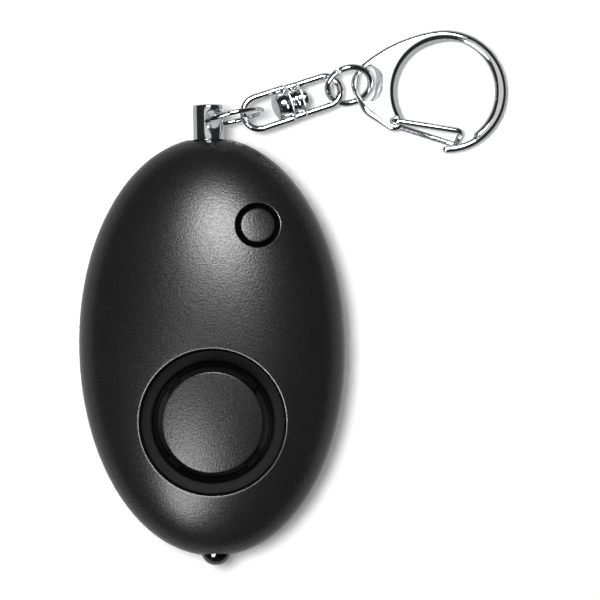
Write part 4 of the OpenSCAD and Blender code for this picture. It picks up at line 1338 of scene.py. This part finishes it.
def arc(middle, radius, start, end, steps):
    """Points on an arc, angles in degrees."""
    return [Vector(middle) + way(start + (end - start) * k / steps) * radius for k in range(steps + 1)]


def spaced(line, step):
    """Points along the same closed line, evenly spaced."""
    line = line + line[:1]
    lengths = [0.0]
    for p, q in zip(line, line[1:]):
        lengths.append(lengths[-1] + (q - p).length)
    count = round(lengths[-1] / step)
    made, k = [], 0
    for i in range(count):
        want = lengths[-1] * i / count
        while lengths[k + 1] < want:
            k += 1
        made.append(line[k].lerp(line[k + 1], (want - lengths[k]) / (lengths[k + 1] - lengths[k])))
    return made


def smoothed(values, span, times):
    """A closed list of numbers or points, each replaced by the mean of its neighbours."""
    count, nothing = len(values), values[0] * 0
    for _ in range(times):
        sums = [sum((values[(i + k) % count] for k in range(-span, span + 1)), nothing) for i in range(count)]
        values = [total / (2 * span + 1) for total in sums]
    return values


def swollen(points, by):
    """The same arc, with its points to the right of the eye moved out by up to that much."""
    return [p + p.normalized() * by * max(0.0, p.normalized().x) ** 1.5 for p in points]


NOSE_IN = OUTER - NOSE_WALL
outline = swollen(arc((0, 0), OUTER, NOSE_FROM, BROW_FROM, 188), BAR_SWELL / 3)
outline += arc(way(BROW_FROM) * (OUTER - BROW_R), BROW_R, BROW_FROM, BROW_TO, 40)[1:]
outline += [hull_point(q) for q in range(FIRST_HULL, LAST_HULL)]
outline += arc(GATE_BOSS, GATE_BOSS_R, LAST_HULL, BOSS_TO, 24)
outline += swollen(arc((0, 0), HOOK_R, EYE_FROM, NOSE_TO, 180), -BAR_SWELL)
outline += arc((0, 0), NOSE_IN, NOSE_TO - 3, NOSE_FROM, 20)
nose_end = way(NOSE_FROM) * (OUTER - NOSE_WALL / 2)
outline += arc(nose_end, NOSE_WALL / 2, NOSE_FROM + 180, NOSE_FROM + 360, 12)[1:-1]
outline = smoothed(spaced(outline, OUTLINE_STEP), span=1, times=3)
print("hook outline of", len(outline), "points")

# %% [markdown]
# How far an edge is drawn in differs along the outline. The outer edge of the plate is crisp, and the
# bar is drawn in until it is a round bar. The wall of the eye is rounded in front and then slopes
# out, as a casting does so that it leaves its mould. The lower edge of the plate is a wide round bead.

# %% Edges of the hook
CRISP, BEAD, EYE_EDGE, BAR_EDGE, NOSE_EDGE = 0.6, 1.15, 0.9, 0.76, 0.52
LOW_EDGE, EYE_TOE = 0.28, 0.34
BEAD_ROOM, BEAD_BELOW = 1.4, -3.2
BAR_TO, NOSE_LAP = 96, 8
EDGE_STEPS, HOLD = 8, 0.03


def on_bar(point):
    """On the bar that curls round the eye."""
    q = math.degrees(math.atan2(point.y, point.x))
    return NOSE_TO <= q < BAR_TO and point.length < OUTER + BAR_SWELL


def on_nose(point):
    """On the thin nose at the bar's end."""
    q = math.degrees(math.atan2(point.y, point.x))
    return NOSE_FROM - NOSE_LAP < q < NOSE_TO and point.length > HOOK_R + 0.3


def on_eye(point):
    """On the plate's side of the eye."""
    return point.length < HOOK_R + 0.1 and not on_bar(point)


def has_bead(point):
    """Where there is room for a wide round edge between the plate's lower side and its two holes."""
    cap = HOLE_END - Vector((0, (HOLE_H - HOLE_W) / 2))
    by_hole = (point - cap).length - HOLE_W / 2
    by_gate = (point - GATE_BOSS).length - GATE_BOSS_R
    return point.y < BEAD_BELOW and point.x < GATE_BOSS.x and min(by_hole, by_gate) > BEAD_ROOM


def upper_edge(point):
    """How far the front edge is drawn in at one point of the outline."""
    if on_nose(point):
        return NOSE_EDGE
    if on_bar(point):
        return BAR_EDGE
    if on_eye(point):
        return EYE_EDGE
    return BEAD if has_bead(point) else CRISP


def lower_edge(point):
    """How far the back edge is drawn in: the bar is round, the plate crisp."""
    return BAR_EDGE if on_bar(point) else LOW_EDGE


uppers, lowers, toes, halves = [smoothed([width(p) for p in outline], span=8, times=2) for width in (
    upper_edge, lower_edge, lambda p: EYE_TOE if on_eye(p) else 0.0,
    lambda p: (NOSE_T if on_nose(p) else HOOK_T) / 2)]
inward = []
for i, point in enumerate(outline):
    ahead = outline[(i + 1) % len(outline)] - outline[i - 1]
    inward.append(Vector((-ahead.y, ahead.x)).normalized())
print("front edge widths from", round(min(uppers), 2), "to", round(max(uppers), 2), "mm")

# %% Loft of the hook
def hook_ring(draw_in, level):
    """The outline drawn in and raised by two functions of a point's number."""
    spots = [point + inside * draw_in(i) for i, (point, inside) in enumerate(zip(outline, inward))]
    return [(spot.x, spot.y, level(i)) for i, spot in enumerate(spots)]


def low_ring(q):
    """A ring of the rounded back edge, from -90 at the back face to 0 at its wall."""
    bend = math.radians(q)
    return hook_ring(
        lambda i: lowers[i] * (1 - math.cos(bend)) - toes[i],
        lambda i: -halves[i] + min(lowers[i], halves[i]) * (1 + math.sin(bend)))


def high_ring(q):
    """A ring of the rounded front edge, from 0 at the wall to 90 at the front face."""
    bend = math.radians(q)
    return hook_ring(
        lambda i: uppers[i] * (1 - math.cos(bend)),
        lambda i: halves[i] - min(uppers[i], halves[i]) * (1 - math.sin(bend)))


rings = [hook_ring(lambda i: lowers[i] - toes[i] + HOLD, lambda i: -halves[i])]
rings += [low_ring(-90 + 90 * k / EDGE_STEPS) for k in range(EDGE_STEPS + 1)]
rings += [high_ring(90 * k / EDGE_STEPS) for k in range(EDGE_STEPS + 1)]
rings.append(hook_ring(lambda i: uppers[i] + HOLD, lambda i: halves[i]))
hook = loft("snap_hook_body", rings, filled=False)
print("hook lofted through", len(rings), "rings")

# %% [markdown]
# The small hole is wider in front than behind: its wall slopes on the side of the eye, and shows as a
# grey crescent. The gate's hole is a plain bore. Both are lofted walls; then the open edges of each
# face are selected and filled together, which leaves the holes open.

# %% Holes and faces of the hook
HOLE_SLOPE, HOLE_EASE_W, HOLE_LAND = 1.1, 0.14, 0.2
HOLE_SIDES, BORE_SIDES = 72, 36
GATE_HOLE_R = 0.62


def small_hole(level, grow):
    """The small hole's outline at one height: a stadium whose wall slopes towards the eye."""
    ring = []
    for i in range(HOLE_SIDES):
        side = way(360 / HOLE_SIDES * i)
        drop = (HOOK_T / 2 - level) / HOOK_T
        x = -HOOK_ARM + side.x * (HOLE_W / 2 + grow) - HOLE_SLOPE * drop * max(side.x, 0) ** 0.6
        stretch = math.copysign((HOLE_H - HOLE_W) / 2, side.y) * min(1, abs(side.y) * 4)
        y = side.y * (HOLE_W / 2 + grow) + stretch
        ring.append((x, y, level))
    return ring


def bore_ring(middle, radius, level):
    """A round hole's outline at one height."""
    return [(*(middle + way(360 / BORE_SIDES * i) * radius), level) for i in range(BORE_SIDES)]


top = HOOK_T / 2
levels = [(-top, HOLE_LAND), (-top, HOLE_EASE_W), (0.06 - top, 0.05), (HOLE_EASE_W - top, 0)]
levels += [(-z, g) for z, g in reversed(levels)]
walls = [
    loft("small_hole", [small_hole(z, g) for z, g in levels], filled=False),
    loft("gate_hole", [bore_ring(GATE_BOSS, GATE_HOLE_R + g, z) for z, g in levels], filled=False),
]
pick(hook, *walls)
bpy.ops.object.join()
bpy.ops.object.mode_set(mode="EDIT")
for side in (1, -1):
    bpy.ops.mesh.select_all(action="DESELECT")
    bpy.ops.mesh.select_mode(type="EDGE")
    shape = bmesh.from_edit_mesh(hook.data)
    for edge in shape.edges:
        edge.select_set(edge.is_boundary and all(v.co.z * side > 0 for v in edge.verts))
    bmesh.update_edit_mesh(hook.data)
    bpy.ops.mesh.fill()
bpy.ops.mesh.select_mode(type="VERT")
close_up(hook, 40)
dress(hook, chrome, "hook", "chrome", "snap_hook")

# %% Finishes of the hook
def on_flat(point):
    """On a flat face of the plate."""
    return abs(point.z) > top - SKIN and not on_bar(point.xy)


def on_slope(point):
    """On the small hole's sloping wall."""
    near_hole = (point.xy - HOLE_END).length < HOLE_H / 2 + 0.3 and abs(point.z) < top - 2 * SKIN
    return near_hole and 0 < point.x + HOOK_ARM < HOLE_W / 2 + 0.1


# the flat faces get the paler chrome, a painted highlight
coat(hook, chrome_flat_painted_bright, on_flat)
coat(hook, chrome_cast, on_slope)
settle(hook, hook_place)

# %% [markdown]
# ## Spring gate
#
# The gate is one piece of spring wire. It comes up through the plate, runs along the front of the hook
# to its nose, bends round the nose and runs back behind the hook. A wire that follows corners is made
# of straight runs and bends: each bend starts before its corner and turns round a peg of its radius.

# %% Gate of spring wire
def follow_wire(name, radius, corners, bends, sides=28):
    """A wire along corner points in mm, each inner corner bent round a peg of its own radius."""
    spots = [Vector(c) for c in corners]
    here = spots[0]
    piece = begin_wire(name, radius, here, spots[1] - here, sides)
    for i in range(1, len(spots) - 1):
        come = (spots[i] - spots[i - 1]).normalized()
        leave = (spots[i + 1] - spots[i]).normalized()
        turn_by = come.angle(leave)
        start = spots[i] - come * bends[i - 1] * math.tan(turn_by / 2)
        run_wire(start - here)
        peg = start + (leave - come * come.dot(leave)).normalized() * bends[i - 1]
        degrees = math.degrees(turn_by)
        bend_wire(degrees, peg, come.cross(leave).normalized(), max(6, round(degrees / 6)))
        here = spots[i] + leave * bends[i - 1] * math.tan(turn_by / 2)
    run_wire(spots[-1] - here)
    return piece


GATE_WIRE = 0.95
LIFT = HOOK_T / 2 + GATE_WIRE / 2 + FIT
GATE_CORNERS = [
    (*GATE_BOSS, 0.0), (*GATE_BOSS, LIFT), (3.0, -6.1, LIFT), (2.6, -8.3, -LIFT),
    (-7.1, -6.2, -LIFT), (*GATE_BOSS, -LIFT), (*GATE_BOSS, -FIT)]
GATE_BENDS = (0.55, 0.75, 0.6, 0.5, 0.3)
gate = follow_wire("gate_wire", GATE_WIRE / 2, GATE_CORNERS, GATE_BENDS)
end_wire(gate, 0.08)
settle(gate, hook_place)
dress(gate, chrome, "gate", "chrome", "hook_gate")

# %% [markdown]
# ## Lamp
#
# The lamp is a common five millimetre LED: a clear epoxy dome cast round two metal posts, one of
# which ends in a small cup that holds the chip. Clear plastic is drawn with full transmission. From
# above it looks nearly black, because it bends the view into the dark inside of the case.

# %% Clear lens
LAMP_BACK_Y, LAMP_R, LAMP_BODY, LAMP_RIM_R, LAMP_RIM_T = -26.0, 2.45, 6.05, 2.9, 1.0
SWIRL, DOME_STEPS = 0.8, 14
clear, tree = new_finish("clear_epoxy")
where = add(tree, "ShaderNodeTexCoord").outputs["Object"]
swirl = add(tree, "ShaderNodeTexNoise", {"Vector": where, "Scale": 1 / (SWIRL * MM), "Detail": 2.0})
rough = add(tree, "ShaderNodeMapRange", {"Value": swirl.outputs["Fac"], "To Min": 0.0, "To Max": 0.06})
tint = add(tree, "ShaderNodeMix", {
    "Factor": swirl.outputs["Fac"], 6: paint("#cfd3d5"), 7: paint("#d9dddf"),
}, data_type="RGBA")
glass = add(tree, "ShaderNodeBsdfPrincipled", {
    "Base Color": tint.outputs[2], "Roughness": rough.outputs["Result"],
    "IOR": 1.53, "Transmission Weight": 1.0,
})
add(tree, "ShaderNodeOutputMaterial", {"Surface": glass.outputs["BSDF"]})
section = [(0, 0, 0), (0, LAMP_RIM_R, 0.1), (LAMP_RIM_T, LAMP_RIM_R, 0.15), (LAMP_RIM_T, LAMP_R, 0)]
for k in range(DOME_STEPS + 1):
    q = math.pi / 2 * k / DOME_STEPS
    section.append((LAMP_BODY + LAMP_R * math.sin(q), LAMP_R * math.cos(q) if k < DOME_STEPS else 0, 0))
lens = turn("lamp_clear_lens", section, (0, LAMP_BACK_Y, SEAM), (0, -1, 0), 96)
dress(lens, clear, "case", "lens", "lamp_lens")

# %% Posts and cup inside the lens
LEAD_X, LEAD_R, LEAD_BEND = 1.27, 0.3, 0.5
LEAD_BACK_Y = LAMP_BACK_Y - 0.1
CUP_X, CUP_Y, CUP_TALL, CUP_DEEP = -0.15, -29.6, 0.9, 0.4


def lead_wire(name, spots):
    """A thin post along (x, y) spots in the seam's plane, bent twice."""
    piece = follow_wire(name, LEAD_R, [(x, y, SEAM) for x, y in spots], (LEAD_BEND, LEAD_BEND), 16)
    end_wire(piece, 0.06)
    return piece


post = lead_wire("lamp_posts", [(LEAD_X, LEAD_BACK_Y), (LEAD_X, -28.2), (0.75, -29.4), (0.75, -30.6)])
stem = lead_wire("stem", [(-LEAD_X, LEAD_BACK_Y), (-LEAD_X, -27.6), (CUP_X, -29.0), (CUP_X, -29.8)])
cup = turn("cup", [
    (0, 0, 0), (0, 0.5, 0.1), (CUP_TALL, 0.8, 0.08), (CUP_TALL, 0.66, 0.05),
    (CUP_DEEP, 0.36, 0), (CUP_DEEP, 0, 0),
], (CUP_X, CUP_Y, SEAM), (0, -1, 0), 48)
combine(stem, cup, "UNION")
pick(post, stem)
bpy.ops.object.join()
smooth_below(35)
dress(post, steel, "case", "steel")

# %% [markdown]
# ## Pieces inside the case
#
# What lies inside keeps its CAD shape and gets its own finish: green solder mask, varnished copper,
# fired ceramic, shrink sleeve and wire insulation. The sounder's plate is brass, but its side that
# faces out is painted black as painted shade, because the slot round the siren's cap shows it. The
# pin's socket is painted near black too, as painted shade in the gap at the foot of the pin's head.

# %% Finishes of the inner pieces
SHADE_FROM_Z, STAIN = 14.6, 0.4


def metal_with_painted_shade(name, shade_colour, deep, pale, level):
    """Metal of two close colours whose side above that height, in mm, is painted one flat colour as painted shade.
    """
    finish, tree = new_finish(name)
    where = add(tree, "ShaderNodeTexCoord").outputs["Object"]
    height = add(tree, "ShaderNodeSeparateXYZ", {"Vector": where})
    above = add(tree, "ShaderNodeMath", {0: height.outputs["Z"], 1: level * MM}, operation="GREATER_THAN")
    spots = add(tree, "ShaderNodeTexNoise", {"Vector": where, "Scale": 1 / (STAIN * MM), "Detail": 3.0})
    bare = add(tree, "ShaderNodeMix", {
        "Factor": spots.outputs["Fac"], 6: paint(deep), 7: paint(pale),
    }, data_type="RGBA")
    shade = add(tree, "ShaderNodeMix", {
        "Factor": above.outputs["Value"], 6: bare.outputs[2], 7: paint(shade_colour),
    }, data_type="RGBA")
    plain = add(tree, "ShaderNodeMath", {0: 1.0, 1: above.outputs["Value"]}, operation="SUBTRACT")
    rough = add(tree, "ShaderNodeMapRange", {"Value": spots.outputs["Fac"], "To Min": 0.4, "To Max": 0.65})
    skin = add(tree, "ShaderNodeBsdfPrincipled", {
        "Base Color": shade.outputs[2], "Metallic": plain.outputs["Value"],
        "Roughness": rough.outputs["Result"], "Specular IOR Level": 0.06,
    })
    add(tree, "ShaderNodeOutputMaterial", {"Surface": skin.outputs["BSDF"]})
    return finish


# black above that height: painted shade where the slot round the cap shows the plate
brass_shaded_face = metal_with_painted_shade("brass_with_painted_shade", "#060606", "#b98d3f", "#d2a955", SHADE_FROM_Z)
mask_green = moulded("solder_mask_green", "#1d5230", "#27653c", 0.32, 0.9, 0.01)
ceramic = moulded("fired_ceramic", "#d5d0c4", "#e3dfd4", 0.36, 0.4, 0.01)
copper = moulded("varnished_copper", "#7a3f1c", "#95532a", 0.25, 0.25, 0.06)
sleeve = moulded("shrink_sleeve", "#26325a", "#31406e", 0.28, 1.2, 0.01)
wire_red = moulded("wire_cover_red", "#9c2626", "#b53434", 0.4, 0.7, 0.02)
wire_black = moulded("wire_cover_black", "#202020", "#2c2c2c", 0.4, 0.7, 0.02)
inner_finishes = {
    # painted shade on the side seen through the slot
    brass_shaded_face: ["piezo_disc"],
    ceramic: ["piezo_ceramic"],
    abs_inner: ["piezo_retainer", "switch_body", "alarm_chip"],
    nylon_white: ["switch_plunger", "pin_tip"],
    mask_green: ["circuit_board"],
    steel: ["board_screws", "pin_stem", "lamp_leads", "button_cells", "plus_contact", "minus_contact"],
    copper: ["boost_coil"],
    sleeve: ["capacitor"],
    brass: ["contact_leaves"],
    # painted shade in the gap at the pin's foot
    brass_painted_shade: ["pin_socket"],
    wire_red: ["lamp_wires", "siren_wires"],
    wire_black: ["battery_wires"],
}
for finish, names in inner_finishes.items():
    for name in names:
        node = frame["nodes"][name]
        node.data.materials.clear()
        node.data.materials.append(finish)
print("inner pieces:", sum(len(names) for names in inner_finishes.values()))
